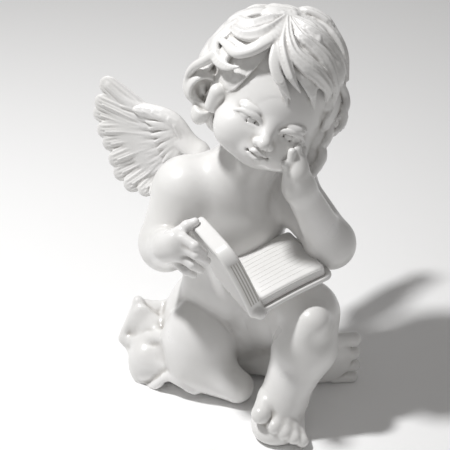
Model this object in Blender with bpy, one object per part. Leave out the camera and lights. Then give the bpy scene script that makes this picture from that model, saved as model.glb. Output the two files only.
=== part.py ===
"""Seated reading cherub, a small garden and shelf statue cast as one piece.

The figure faces the -Y side. Its carving is laid out on a figure 300 units high and scaled to
STATUE_HEIGHT; the book has its own sizes.
"""

import math

import bmesh
import bpy
import mathutils
import numpy as np
import openvdb

# driving sizes, in metres
STATUE_HEIGHT = 0.300
BOOK_HALF_WIDTH = 0.060
BOOK_LENGTH = 0.060
BOOK_COVER_THICKNESS = 0.0034
BOOK_LEAVES_THICKNESS = 0.008
BOOK_OPENING_DEG = 101.0

UNIT = STATUE_HEIGHT / 300.0
CLAY_LAYERS = 158
FACETS = 9400
FAR = 40.0
UPRIGHT = np.eye(3)


def turn(yaw=0.0, pitch=0.0, roll=0.0):
    """Rows are the x, y and z axes after a roll about y, a pitch about x and a yaw about z."""
    a, b, c = (math.radians(v) for v in (yaw, pitch, roll))
    about_z = np.array([[math.cos(a), -math.sin(a), 0], [math.sin(a), math.cos(a), 0], [0, 0, 1]])
    about_x = np.array([[1, 0, 0], [0, math.cos(b), -math.sin(b)], [0, math.sin(b), math.cos(b)]])
    about_y = np.array([[math.cos(c), 0, math.sin(c)], [0, 1, 0], [-math.sin(c), 0, math.cos(c)]])
    return (about_z @ about_x @ about_y).T


def unit(v):
    v = np.asarray(v, float)
    return v / np.linalg.norm(v)


def soft_min(a, b, blend):
    if blend <= 0:
        return np.minimum(a, b)
    overlap = np.maximum(blend - np.abs(a - b), 0.0) / blend
    return np.minimum(a, b) - overlap * overlap * (blend * 0.25)


class Clay:
    """A block of clay as a grid of signed distances, negative inside."""

    def __init__(self, low, high, step):
        self.step = step
        self.low = np.floor(np.array(low, float) / step) * step
        count = np.ceil((np.array(high, float) - self.low) / step).astype(int) + 1
        self.depth = np.full(tuple(count), FAR, np.float32)

    def window(self, low, high, margin):
        first = np.floor((low - margin - self.low) / self.step).astype(int)
        last = np.ceil((high + margin - self.low) / self.step).astype(int) + 1
        first = np.clip(first, 0, self.depth.shape)
        last = np.clip(last, 0, self.depth.shape)
        here = tuple(slice(a, b) for a, b in zip(first, last))
        x, y, z = (
            (self.low[i] + self.step * np.arange(first[i], last[i])).astype(np.float32) for i in range(3)
        )
        return here, x[:, None, None], y[None, :, None], z[None, None, :]

    def add(self, form, blend=0.0):
        depth, low, high = form
        here, x, y, z = self.window(low, high, blend + 3)
        if self.depth[here].size:
            self.depth[here] = soft_min(self.depth[here], depth(x, y, z), blend)

    def cut(self, form, blend=0.0):
        depth, low, high = form
        here, x, y, z = self.window(low, high, blend + 3)
        if self.depth[here].size:
            self.depth[here] = -soft_min(-self.depth[here], depth(x, y, z), blend)

    def join(self, other, blend):
        """Joins another block of clay that lies inside this one."""
        first = np.round((other.low - self.low) / self.step).astype(int)
        here = tuple(slice(a, a + n) for a, n in zip(first, other.depth.shape))
        self.depth[here] = soft_min(self.depth[here], other.depth, blend)

    def cut_flat(self, height):
        z = self.low[2] + self.step * np.arange(self.depth.shape[2])
        self.depth = np.maximum(self.depth, (height - z)[None, None, :].astype(np.float32))


def egg(centre, radii, axes=UPRIGHT):
    """An ellipsoid whose axes are the rows of axes."""
    centre = np.asarray(centre, float)
    radii = np.asarray(radii, float) * np.ones(3)
    reach = np.sqrt((axes.T ** 2) @ (radii ** 2))

    def depth(x, y, z):
        x, y, z = (v - np.float32(c) for v, c in zip((x, y, z), centre))
        size = 0.0
        slope = 0.0
        for axis, radius in zip(axes.tolist(), radii.tolist()):
            along = x * axis[0] + y * axis[1] + z * axis[2]
            size = size + (along / radius) ** 2
            slope = slope + (along / radius ** 2) ** 2
        size = np.sqrt(size)
        return size * (size - 1) / (np.sqrt(slope) + 1e-6)

    return depth, centre - reach, centre + reach


def limb(start, end, start_radius, end_radius):
    """A round limb that tapers from one radius to the other."""
    start, end = np.asarray(start, float), np.asarray(end, float)
    line = end - start
    most = max(start_radius, end_radius)

    def depth(x, y, z):
        x, y, z = (v - np.float32(c) for v, c in zip((x, y, z), start))
        a, b, c = line.tolist()
        t = np.clip((x * a + y * b + z * c) / float(line @ line), 0, 1)
        away = np.sqrt((x - t * a) ** 2 + (y - t * b) ** 2 + (z - t * c) ** 2)
        return away - (start_radius + t * (end_radius - start_radius))

    return depth, np.minimum(start, end) - most, np.maximum(start, end) + most


def smooth_line(points, steps):
    """A smooth curve through the points, with steps stations on each stretch."""
    p = np.asarray(points, float)
    p = np.vstack([2 * p[0] - p[1], p, 2 * p[-1] - p[-2]])
    out = []
    for i in range(1, len(p) - 2):
        for t in np.linspace(0, 1, steps, endpoint=False):
            a = p[i + 1] - p[i - 1]
            b = 2 * p[i - 1] - 5 * p[i] + 4 * p[i + 1] - p[i + 2]
            c = 3 * p[i] - p[i - 1] - 3 * p[i + 1] + p[i + 2]
            out.append(0.5 * (2 * p[i] + a * t + b * t ** 2 + c * t ** 3))
    out.append(p[-2])
    return np.array(out)


def along(values, count):
    """Spreads the values evenly over count stations."""
    values = np.atleast_1d(np.asarray(values, float))
    if len(values) == 1:
        return np.full(count, values[0])
    return np.interp(np.linspace(0, 1, count), np.linspace(0, 1, len(values)), values)


def ribbon(points, widths, heights, outs, grooves=0, groove_depth=0.0, both_sides=False):
    """A flat oval section swept along the points. outs point away from the surface it lies on."""
    points = np.asarray(points, float)
    n = len(points)
    widths, heights = along(widths, n), along(heights, n)
    outs = np.asarray(outs, float) * np.ones((n, 3))
    tangents = np.gradient(points, axis=0)
    tangents /= np.linalg.norm(tangents, axis=1)[:, None] + 1e-9
    sides = np.cross(tangents, outs)
    sides /= np.linalg.norm(sides, axis=1)[:, None] + 1e-9
    ups = np.cross(sides, tangents)
    most = max(widths.max(), heights.max())
    facts = np.hstack([points, sides, ups, widths[:, None], heights[:, None]]).astype(np.float32)

    def depth(x, y, z):
        best = np.full((x.shape[0], y.shape[1], z.shape[2]), FAR, np.float32)
        for a, b in zip(facts[:-1], facts[1:]):
            low, high = np.minimum(a[:3], b[:3]) - most - 4, np.maximum(a[:3], b[:3]) + most + 4
            near = tuple(
                slice(*np.searchsorted(v.ravel(), (lo, hi))) for v, lo, hi in zip((x, y, z), low, high)
            )
            px = x[near[0]] - a[0]
            py = y[:, near[1]] - a[1]
            pz = z[:, :, near[2]] - a[2]
            if not (px.size and py.size and pz.size):
                continue
            line = b[:3] - a[:3]
            t = np.clip((px * line[0] + py * line[1] + pz * line[2]) / (line @ line + 1e-6), 0, 1)
            px, py, pz = px - t * line[0], py - t * line[1], pz - t * line[2]
            d = b - a
            across = px * (a[3] + t * d[3]) + py * (a[4] + t * d[4]) + pz * (a[5] + t * d[5])
            above = px * (a[6] + t * d[6]) + py * (a[7] + t * d[7]) + pz * (a[8] + t * d[8])
            beyond = np.maximum(px * px + py * py + pz * pz - across * across - above * above, 0)
            w, h = a[9] + t * d[9], a[10] + t * d[10]
            size = np.sqrt((across / w) ** 2 + (above / h) ** 2 + beyond / (w * w)) + 1e-6
            slope = np.sqrt((across / w ** 2) ** 2 + (above / h ** 2) ** 2 + beyond / w ** 4) + 1e-6
            gap = size * (size - 1) / slope
            if grooves:
                wave = 0.5 - 0.5 * np.cos(math.pi * grooves * (across / w + 1))
                fade = np.clip(w / 3, 0, 1) * np.clip(1.2 - 1.6 * np.sqrt(beyond) / w, 0, 1)
                gap = gap + groove_depth * wave * (both_sides | (above > 0)) * fade
            best[near] = np.minimum(best[near], gap)
        return best

    return depth, points.min(0) - most, points.max(0) + most


def slab(centre, half, axes, rounding, bow=0.0, corner=0.0):
    """A board with rounded edges, bowed by bow across its first axis. corner rounds its two far corners."""
    centre, half = np.asarray(centre, float), np.asarray(half, float)
    reach = np.abs(axes.T) @ (half + (0, 0, abs(bow)))

    def depth(x, y, z):
        x, y, z = (v - np.float32(c) for v, c in zip((x, y, z), centre))
        u, v, w = (x * a[0] + y * a[1] + z * a[2] for a in axes.tolist())
        w = w - bow * (1 - (u / half[0]) ** 2)
        turned = np.where(u > 0, max(corner, rounding), rounding)
        across, along_it = np.abs(u) - (half[0] - turned), np.abs(v) - (half[1] - turned)
        rim = np.sqrt(np.maximum(across, 0) ** 2 + np.maximum(along_it, 0) ** 2)
        rim = rim + np.minimum(np.maximum(across, along_it), 0) - turned + rounding
        thick = np.abs(w) - (half[2] - rounding)
        outside = np.sqrt(np.maximum(rim, 0) ** 2 + np.maximum(thick, 0) ** 2)
        return outside + np.minimum(np.maximum(rim, thick), 0) - rounding

    return depth, centre - reach, centre + reach


class Place:
    """A tilted frame in which a part of the figure is laid out."""

    def __init__(self, origin, axes, scale=1.0):
        self.origin = np.asarray(origin, float)
        self.axes = axes
        self.scale = scale

    def at(self, point):
        return self.origin + self.scale * (np.asarray(point, float) @ self.axes)

    def way(self, direction):
        return np.asarray(direction, float) @ self.axes

    def egg(self, point, radii):
        return egg(self.at(point), np.asarray(radii, float) * self.scale, self.axes)

    def line(self, points, steps=3):
        return [self.at(q) for q in smooth_line(points, steps)]


BOOK_CORNER = np.array([24, -76, 103.0])
HEAD = Place((32, -8, 229), turn(yaw=0, pitch=-8, roll=26), 0.85)
CROWN = np.array([-8, 12, 15.0])
CROWN_RADII = np.array([49, 50, 49.0])
BODY_YAW = 19.0
BODY = turn(yaw=BODY_YAW)


def torso(clay):
    clay.add(egg((0, 20, 40), (47, 38, 44), BODY))
    clay.add(egg((3, 6, 82), (35, 31, 38), BODY), 12)
    clay.add(egg((6, 8, 128), (40, 31, 42), BODY), 14)
    clay.add(limb((-26, 6, 158), (42, 24, 156), 23, 23), 14)
    clay.add(limb((8, 8, 165), (27, 0, 200), 24, 21), 12)
    # shoulder blades and the furrow of the back
    for side in (-1, 1):
        blade = np.array([2, 26, 146]) + BODY[0] * 19 * side + BODY[1] * 6
        clay.add(egg(blade, (12, 9, 17), BODY), 8)
    furrow = [
        np.array([x, y, z]) + BODY[1] * d
        for x, y, z, d in ((4, 12, 150, 31), (3, 12, 110, 31), (1, 14, 84, 37))
    ]
    clay.cut(ribbon(furrow, 2.5, 3.0, BODY[1]), 7)


def legs(clay):
    # right leg folded under, its foot lying on its outer edge
    clay.add(limb((-14, 8, 38), (-20, -12, 37), 31, 28), 6)
    clay.add(egg((-18, -16, 37), (25, 25, 35), turn(yaw=-20, roll=-16)), 4)
    clay.add(limb((-22, -20, 22), (9, -37, 13), 20, 12.5), 9)
    clay.add(limb((-4, 6, 12), (56, -10, 17), 12, 15), 6)
    clay.add(egg((70, -13, 23), (26, 12, 23)), 6)
    toes = [
        ((83, -14, 38.7), (96.7, -12, 38.3), 5.6),
        ((83.5, -14, 26), (97.3, -12, 25.5), 4.9),
        ((84, -14, 14.9), (97.8, -12, 14.4), 4.7),
        ((82.9, -14, 4.6), (96.8, -12, 4.1), 4.5),
        ((80.2, -14, -4.8), (94.1, -12, -5.3), 4.3),
    ]
    for back, tip, radius in toes:
        clay.add(limb(back, tip, radius, radius), 2)
    # left leg drawn up, its foot flat
    clay.add(limb((24, 16, 48), (58, -38, 80), 31, 23), 10)
    clay.add(limb((58, -42, 80), (58, -54, 62), 22.5, 21.5), 8)
    clay.add(limb((57, -54, 61), (42, -68, 28), 21.5, 16.5), 8)
    clay.add(limb((60.9, -62, 87.3), (46.8, -62, 63.5), 13, 13), 6)
    clay.add(limb((44, -60, 20), (38, -72, 16), 17, 15), 8)
    clay.add(egg((38, -75, 9), (19, 20, 12), turn(yaw=-20)), 6)
    clay.add(egg((36, -77, 6), (15.5, 16, 8), turn(yaw=-25)), 4)
    toes = [
        ((30.7, -70, 28.9), (25.5, -85, 24.4), 6.6),
        ((37.7, -75, 22), (35.4, -90, 17.6), 4.9),
        ((42.5, -77, 18.2), (42.1, -92, 13.8), 4.7),
        ((47.1, -78, 14), (48.6, -93, 9.7), 4.5),
        ((51.5, -77, 10.1), (54.8, -92, 5.8), 4.2),
    ]
    for back, tip, radius in toes:
        clay.add(limb(back, tip, radius * 1.1, radius), 3)
        clay.add(egg(tip, (radius * 1.05, radius * 1.1, radius)), 1.5)


def right_arm(clay):
    clay.add(limb((-30, 4, 154), (-43, -8, 124), 22, 18), 10)
    clay.add(egg((-43, -12, 119), (18, 18, 18)), 8)
    clay.add(limb((-42, -14, 119), (-39.4, -46, 139.8), 16, 12), 4)
    clay.add(egg((-32.3, -52, 143.4), (9.5, 9, 13), turn(yaw=10, roll=-20)), 5)
    fingers = [
        ((-28.6, -55, 151.5), (-20.4, -61, 148.8), (-14.3, -59, 141.2), 3.3),
        ((-29.4, -56, 145), (-19.7, -62, 142.2), (-12.3, -59, 135.6), 3.4),
        ((-30.9, -56, 137.8), (-22.6, -61, 133.6), (-16.5, -58, 127.7), 3.2),
        ((-32.4, -54, 130.1), (-26.9, -58, 126.9), (-21.4, -56, 122.4), 2.9),
    ]
    for knuckle, middle, tip, radius in fingers:
        clay.add(limb(knuckle, middle, radius * 1.15, radius), 2)
        clay.add(limb(middle, tip, radius, radius * 0.85), 1)
    clay.add(limb((-32.3, -48, 150.6), (-26, -47, 156.3), 4.6, 4.2), 3)
    clay.add(limb((-26, -47, 156.3), (-20.5, -46, 158.9), 4.0, 3.2), 1)


def left_arm(clay):
    clay.add(limb((44, 18, 154), (74, -24, 132), 20, 16.5), 10)
    clay.add(egg((75, -28, 130), (15.5, 15.5, 15.5)), 6)
    clay.add(limb((74, -28, 130), (49.9, -46, 186.2), 15, 10.5), 9)
    clay.add(limb((49.9, -46, 186.2), (47.5, -48, 197.1), 10.5, 9), 6)
    clay.add(egg((48.2, -45, 203.1), (7, 8, 10), turn(roll=-8)), 5)
    fingers = [
        ((43.9, -49, 206.7), (44.4, -49, 214.1), 3.2),
        ((47.3, -47, 207.2), (48.5, -45, 215.1), 3.4),
        ((50.9, -43, 203.6), (52.2, -40, 211.1), 3.2),
        ((44, -50, 199.7), (39.9, -51, 206.2), 3.2),
    ]
    for knuckle, tip, radius in fingers:
        clay.add(limb(knuckle, tip, radius * 1.1, radius * 0.9), 1.2)


def book_half(side):
    """Middle, axes and bow of one cover. side 1 is the half that lies over the knee, -1 the raised one."""
    right, back, up = turn(yaw=25)
    tilt = (180.0 - BOOK_OPENING_DEG) / 2
    angle, bow = (tilt - 24, 1.0) if side > 0 else (tilt + 27, 0.8)
    a = math.radians(angle)
    across = side * math.cos(a) * right + math.sin(a) * up
    normal = -side * math.sin(a) * right + math.cos(a) * up
    middle = BOOK_CORNER + across * BOOK_HALF_WIDTH / UNIT / 2 + back * BOOK_LENGTH / UNIT / 2
    return middle, np.array([across, back, normal]), bow


def book(clay):
    """An open book: two bowed halves, each a cover with a block of leaves set in from its edges."""
    width, length = BOOK_HALF_WIDTH / UNIT, BOOK_LENGTH / UNIT
    cover, leaves = BOOK_COVER_THICKNESS / UNIT, BOOK_LEAVES_THICKNESS / UNIT
    middle, axes, bow = book_half(1)
    clay.add(slab(middle, (width / 2, length / 2, cover / 2), axes, cover / 3, bow, cover * 2), 0.6)
    middle = middle - axes[0] * cover / 3 + axes[2] * (cover + leaves) / 2
    inset = cover * 0.9
    block = (width / 2 - inset, length / 2 - inset, leaves / 2)
    clay.add(slab(middle, block, axes, cover / 2, bow, cover), 0.6)
    middle, axes, bow = book_half(-1)
    middle = middle + axes[2] * (leaves / 2 - 1.5 * cover)
    whole = (width / 2, length / 2, (cover + leaves) / 2)
    clay.add(slab(middle, whole, axes, cover * 0.6, bow, cover * 4), 0.6)
    spine_start = BOOK_CORNER + (0, 0, 1)
    clay.add(limb(spine_start, spine_start + axes[1] * length, cover * 1.3, cover * 1.3), 3)


def cloth(clay):
    """The cloth the child sits on, in folds that flare out on the right hip and round the back."""
    clay.add(egg((-46, 6, 14), (28, 28, 22)), 8)
    clay.add(egg((-56, 8, 32), (11, 9, 15)), 8)
    fold = smooth_line([(-26, 14, 34), (-46, 16, 42), (-66, 19, 52)], 3)
    clay.add(ribbon(fold, (13, 13, 11, 6, 2.5), (5, 4, 4, 3, 2), (-0.4, -0.5, 0.6)), 4)
    clay.add(egg((-60, -6, 14), (13, 14, 17)), 5)
    ridges = [
        ([(-66.2, 16, 53.9), (-61.6, 10, 47), (-55.4, 4, 39.1), (-49, -6, 37.8)], 2.6),
        ([(-66.2, 16, 53.9), (-71.8, 12, 41.1), (-77.5, 9, 24.6), (-67.5, 2, 14.6)], 3.2),
        ([(-77.5, 9, 24.6), (-66.3, 2, 26.7), (-56.8, -3, 32.9), (-45.1, -9, 38.9)], 3.6),
        ([(-56.8, -3, 32.9), (-64.6, -6, 21.2), (-68.7, -8, 7.7), (-63.3, -14, -2), (-56.3, -18, -2.8)],
         3.4),
        ([(-56.3, -18, -2.8), (-49.7, -24, 6.4), (-41.9, -28, 14.9), (-32.8, -33, 12.1), (-23.1, -35, 8.1)],
         3.4),
    ]
    for points, radius in ridges:
        clay.add(ribbon(smooth_line(points, 3), radius, radius, (0, -1, 0.5)), 4)
    clay.add(egg((-64.1, 10, 38.8), (9, 5, 15), turn(roll=10)), 4)
    clay.cut(egg((-61.4, -6, 49.6), (4, 9, 8)), 5)
    clay.cut(egg((-52.7, -26, 32.7), (5, 9, 9)), 6)
    clay.cut(egg((-39.6, -34, 6.4), (9, 10, 5)), 3)
    # pleats gathered under the child and spread over the ground behind it
    for i in range(12):
        a = math.radians(-12 + 17.5 * i)
        spread = 52 + 4 * (i % 2)
        high = (math.cos(a) * 36, 16 + math.sin(a) * 33, 30)
        low = (math.cos(a) * spread, 14 + math.sin(a) * (spread - 6), 3)
        clay.add(limb(high, low, 4, 7 + 2 * (i % 2)), 7)


WING_ROOT = np.array((-34.3, 39.1, 179.1))
WING_ALONG = unit(np.array((-88.8, 58.6, 221.3)) - WING_ROOT)
WING_FACE = unit((-0.331, -0.943, 0.009))
WING_DOWN = unit(np.cross(WING_FACE, WING_ALONG))
MIDDLE = np.array([4.0, 12.0, 0.0])


def wing(clay, side):
    """side 1 is the right wing; -1 mirrors it through the middle plane of the body."""
    def at(along_wing, down_wing, lift=0.0):
        p = WING_ROOT + WING_ALONG * along_wing + WING_DOWN * down_wing + WING_FACE * lift
        return p if side > 0 else p - 2 * ((p - MIDDLE) @ BODY[0]) * BODY[0]

    out = unit(at(0, 0, 1) - at(0, 0, 0))
    upper_edge = [(-17, -3), (-3, -7), (10, -11), (21, -9), (35, -1), (50, 3), (64, 2)]
    edge = smooth_line([at(*p) for p in upper_edge], 3)
    clay.add(ribbon(edge, (6.5, 4), (5, 3), out), 2)
    clay.add(limb(at(-17, -3), at(-2, 0), 9, 6), 5)
    axes = np.array([unit(at(1, 0) - at(0, 0)), unit(at(0, 1) - at(0, 0)), out])
    clay.add(egg(at(19, 22, 1.2), (34, 27, 2.6), axes), 2)
    # feathers, each a start, a middle, a tip and a half width; the lower tips curl forwards
    feathers = [
        ((26, 1), (47, 3), (63, 3), 9.4),
        ((23, 5), (44, 12), (59, 17), 8.4),
        ((21, 8), (41, 19), (55, 26), 8.4),
        ((18, 10), (34, 23), (45, 33), 8.4),
        ((13, 11), (26, 26), (36, 38), 8.4),
        ((9, 12), (18, 31), (25, 44), 8.4),
        ((4, 13), (10, 36), (16, 50), 8.4),
        ((-1, 14), (1, 37), (5, 51), 8.2),
        ((-5, 14), (-6, 36), (-5, 47), 7.6),
        ((-10, 15), (-13, 32), (-13, 42), 7.6),
    ]
    for i, (start, middle, tip, width) in enumerate(feathers):
        lift = 0.9 * (i % 2)
        curl = min(5.5, 1.3 * max(0, i - 2))
        line = smooth_line([at(*start, lift), at(*middle, lift), at(*tip, lift + curl)], 4)
        clay.add(ribbon(line, (width * 0.7, width, width, width * 0.9), 2.4, out, 5, 0.6, True), 0.8)
        clay.add(ribbon(line, (1.5, 1.2, 0.8), 3.1, out), 0.8)
    # long barbs that fan out from the root: where they start and end, how many, lift and half width
    barbs = [
        ([(18, -7), (-9, 10)], [(48, 8), (-9, 40)], 16, 2.2, 2.1),
        ([(15, -10), (-5, 2)], [(31, 0), (-7, 23)], 9, 4.0, 2.4),
    ]
    # a row of small coverts on the upper edge
    coverts = [
        ((29, -3), (37, 1)),
        ((23, -6), (32, -3)),
        ((17, -8), (26, -7)),
        ((12, -9), (20, -9)),
        ((6, -9), (14, -11)),
        ((1, -6), (8, -10)),
    ]
    for face in (1, -1):
        for start, tip, count, lift, wide in barbs:
            for i, t in enumerate(np.linspace(0, 1, count)):
                a = np.array(start[0]) + t * (np.array(start[1]) - start[0])
                b = np.array(tip[0]) + t * (np.array(tip[1]) - tip[0])
                m = (a + b) / 2 + (0, 1.5 if i % 2 else -1.5)
                ends = at(*a, face * lift), at(*m, face * (lift + 0.6)), at(*b, face * (lift - 0.4))
                line = smooth_line(ends, 4)
                clay.add(ribbon(line, (wide, wide * 1.2, wide, wide * 0.4), 1.5, out * face), 0.7)
        for a, b in coverts:
            line = smooth_line([at(*a, face * 2.5), at(*b, face * 3.2)], 4)
            clay.add(ribbon(line, (4.5, 4.6, 3), 3, out * face, 2, 0.6), 0.6)


def head(clay):
    s = HEAD.scale
    front = HEAD.way((0, -1, 0))
    clay.add(HEAD.egg(CROWN, (47, 47, 46)))
    clay.add(HEAD.egg((0, 3, 4), (43, 46, 40)), 8 * s)
    clay.add(HEAD.egg((0, -10, -18), (39, 35, 28)), 12 * s)
    clay.add(HEAD.egg((0, -32, -35), (13, 9, 7.5)), 12 * s)
    for k in (-1, 1):
        clay.add(HEAD.egg((k * 21, -27, -23), (18, 16, 16)), 10 * s)
        clay.cut(HEAD.egg((k * 17, -56, -4.5), (13, 12.5, 8.5)), 7 * s)
        clay.add(HEAD.egg((k * 17, -33.0, -5.6), (11.8, 9.5, 7.2)), 0.8 * s)
        clay.add(HEAD.egg((k * 17, -33.4, 0.6), (12.2, 10, 5.2)), 0.8 * s)
        lid = HEAD.line([
            (k * 30, -34.5, -6.5),
            (k * 25, -39.6, -2.8),
            (k * 18, -43.0, -1.8),
            (k * 11, -43.2, -3.2),
            (k * 6.5, -42, -7.4),
        ])
        widths = (1.0 * s, 2.4 * s, 2.4 * s, 1.2 * s)
        clay.add(ribbon(lid, widths, 1.7 * s, HEAD.way((0, -1, 0.15))), 0.5 * s)
        lid = HEAD.line([
            (k * 28.5, -35.6, -7.4),
            (k * 22, -39.6, -10.4),
            (k * 15, -41.5, -11.4),
            (k * 8, -41.6, -8.6),
        ])
        widths = (0.8 * s, 1.5 * s, 1.5 * s, 0.8 * s)
        clay.add(ribbon(lid, widths, 1.2 * s, HEAD.way((0, -1, -0.3))), 1.2 * s)
        crease = HEAD.line([
            (k * 29, -36.5, 0.5),
            (k * 24, -41, 4.8),
            (k * 17, -44.5, 6.0),
            (k * 10, -45.5, 3.0),
        ])
        clay.cut(ribbon(crease, 0.8 * s, 1.2 * s, front), 1.5 * s)
        iris = []
        for a in np.linspace(0, 2 * math.pi, 17):
            x, z = 3.7 * math.cos(a) - k, 3.7 * math.sin(a) - 1.2
            bulge = 9.5 * math.sqrt(1 - (x / 11.8) ** 2 - (z / 7.2) ** 2)
            iris.append(HEAD.at((k * 17 + x, -33 - bulge, z - 5.6)))
        clay.cut(ribbon(iris, 0.6 * s, 0.8 * s, front), 0.4 * s)
    # nose and mouth
    clay.add(limb(HEAD.at((0, -40.5, -5)), HEAD.at((0, -49.5, -15)), 2.6 * s, 4.4 * s), 9 * s)
    clay.add(HEAD.egg((0, -52.5, -17), (5.4, 5.0, 4.6)), 3 * s)
    clay.add(HEAD.egg((0, -42, -28), (11, 6, 7)), 8 * s)
    for k in (-1, 1):
        clay.add(HEAD.egg((k * 5.4, -49.2, -18.5), (3.6, 3.8, 3.2)), 2 * s)
        clay.cut(HEAD.egg((k * 2.6, -51.0, -22.0), (1.4, 1.8, 1.4)), 0.8 * s)
        lip = HEAD.line([
            (0, -48.8, -26.3),
            (k * 3.0, -49.3, -25.8),
            (k * 6.0, -47.2, -27.4),
            (k * 8.0, -44.6, -28.4),
        ])
        clay.add(ribbon(lip, (1.5 * s, 1.8 * s, 0.8 * s), 1.8 * s, front), 1.2 * s)
        clay.cut(HEAD.egg((k * 8.8, -46.6, -28.6), (1.3, 1.2, 1.2)), 1.6 * s)
    lip = HEAD.line([
        (-6.2, -45.1, -29.4),
        (-3.2, -47.3, -31.2),
        (0, -48.3, -31.8),
        (3.2, -47.3, -31.2),
        (6.2, -45.1, -29.4),
    ])
    clay.add(ribbon(lip, (1.0 * s, 2.2 * s, 1.0 * s), 2.0 * s, front), 1.2 * s)
    lip = HEAD.line([
        (-8.4, -44.4, -28.2),
        (-4.6, -48.3, -28.7),
        (0, -51.0, -29.2),
        (4.6, -48.3, -28.7),
        (8.4, -44.4, -28.2),
    ])
    clay.cut(ribbon(lip, 0.7 * s, 1.3 * s, front), 0.9 * s)
    clay.cut(HEAD.egg((0, -49, -36.4), (6.5, 4, 2.0)), 3 * s)


def on_crown(longitude, latitude, lift):
    """A point above the crown. Longitude 0 is over the brow and 90 over the left ear."""
    a, b = math.radians(longitude), math.radians(latitude)
    way = np.array([math.sin(a) * math.cos(b), -math.cos(a) * math.cos(b), math.sin(b)])
    return CROWN + way * (CROWN_RADII + lift)


def lock(clay, points, width, height, grooves=2):
    """A lock of hair through stations on the crown, each a longitude, a latitude and a lift."""
    line = smooth_line([on_crown(*p) for p in points], 4)
    outs = [HEAD.way(unit((q - CROWN) / CROWN_RADII ** 2)) for q in line]
    world = [HEAD.at(q) for q in line]
    s = HEAD.scale
    clay.add(ribbon(world, np.array(width) * s, np.array(height) * s, outs, grooves, 1.0), 0.8)


# locks that fan out from the whorl: stations, half widths, half heights, grooves
LOCKS = [
    ([(-105, 78, 2), (2, 55, 3), (17, 39, 4), (28, 28, 4)], (5, 15, 15, 9), (3, 4, 4, 3), 3),
    ([(-114, 79, 2), (27, 60, 4), (50, 41, 5), (59, 23, 5)], (5, 15, 15, 7), (3, 4, 4, 3), 3),
    ([(-37, 37, 1), (-40, 19, 0), (-47, -2, -1), (-65, -24, -1)], (7, 11, 12, 8), (2.5, 2.5, 2.5, 2), 3),
    ([(-70, 75, 5), (-25, 50, 7), (-19, 38, 8), (-14, 28, 8), (-7, 20, 8), (2, 14, 8), (12, 7, 7)],
     (2.5, 4, 4.5, 4, 0.7), (3, 4, 4, 3.5, 1), 1),
    ([(-61, 75, 6), (-20, 49, 8), (-11, 38, 9), (-2, 29, 9), (6, 22, 9), (17, 15, 8)],
     (2.5, 4.5, 5, 4, 0.7), (3, 4.5, 4.5, 3.5, 1), 2),
    ([(-61, 76, 6), (-15, 54, 8), (-1, 42, 9), (15, 36, 10), (29, 32, 10), (44, 24, 9), (48, 14, 7)],
     (3, 6, 8, 7, 1.2), (3, 5.5, 6, 5, 2), 3),
    ([(-61, 77, 6), (-2, 60, 9), (20, 54, 9.5), (38, 46, 10), (48, 35, 10), (57, 23, 9), (62, 9, 8)],
     (3, 6, 8, 6, 0.8), (3, 5, 5, 4, 1.5), 3),
    ([(-62, 78, 6), (13, 73, 8), (51, 64, 9), (73, 49, 9), (86, 32, 9), (82, 17, 10)],
     (3, 7, 8, 6, 1.2), (3, 5, 5, 4, 1.5), 3),
    ([(-97, 80, 6), (154, 79, 9), (110, 69, 12), (96, 57, 13.4), (90, 44, 13), (85, 28, 12)],
     (3, 7, 8, 6, 1.5), (3, 5, 5, 4, 2), 2),
    ([(-146, 75, 7), (167, 80, 14), (115, 72, 16.4), (98, 59, 16)], (3, 6, 6, 2), (3, 4, 4, 2), 2),
    ([(-1, 18, 2), (4, 12, 5), (13, 1, 4)], (3.5, 3.5, 0.7), (3, 3, 1), 1),
    ([(20, 26, 4), (30, 18, 5), (40, 6, 4)], (5, 4.5, 0.7), (3, 3, 1), 1),
    ([(77, 26, 7), (82, 16, 12.7), (79, 8, 15.4), (77, -1, 13), (76, -6, 8)],
     (4, 5, 4.5, 0.8), (4, 4, 3, 1), 1),
    ([(80, 9, 8), (78, 4, 16), (76, -5, 19), (74, -14, 14)], (4, 5, 4, 0.8), (4, 4, 3, 1), 1),
    ([(78, -3, -0.7), (76, -8, 9.4), (73, -18, 16.3), (69, -30, 18)], (5, 8, 8, 4), (4, 5, 5, 3), 1),
    ([(71, -23, 11), (70, -26, 24), (66, -34, 31.4), (63, -40, 36)], (5, 7, 7, 3), (4, 5, 5, 3), 1),
    ([(-55, 71, 6), (-29, 48, 8), (-32, 35, 9), (-38, 25, 9), (-46, 18, 10), (-57, 18, 10), (-69, 17, 10)],
     (3, 5, 5, 4.5, 2.5), (3, 5, 5, 4.5, 2), 1),
    ([(-61, 72, 6), (-41, 48, 8), (-48, 36, 9), (-62, 31, 10), (-101, 28, 9)],
     (3, 6, 6.5, 5, 1.5), (3, 5, 5, 4, 2), 2),
    ([(-67, 73, 6), (-60, 57, 7), (-63, 43, 8), (-83, 38, 8), (-105, 36, 10.5)],
     (3, 6, 6.5, 5, 2), (3, 4.5, 4.5, 4, 2), 2),
    ([(-111, 75, 5), (-118, 60, 7.4), (-111, 50, 9.4), (-107, 42, 8.6), (-80, 40, 8)],
     (3, 5, 5, 4, 1.5), (3, 4, 4, 3, 2), 2),
    ([(-86, 24, 7), (-78, 14, 9), (-69, 8, 10), (-57, 4, 10), (-46, 5, 9), (-38, 10, 8)],
     (5, 5, 4.5, 3.5, 1), (4, 4, 4, 3, 1), 1),
    ([(-64, 24, 5), (-58, 13, 7), (-54, 5, 8), (-47, 4, 7)], (6, 7, 6, 2), (3, 4, 4, 3), 1),
]

# where the whorl is: longitude, latitude and lift
WHORL = (289, 73, 7)


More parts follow.
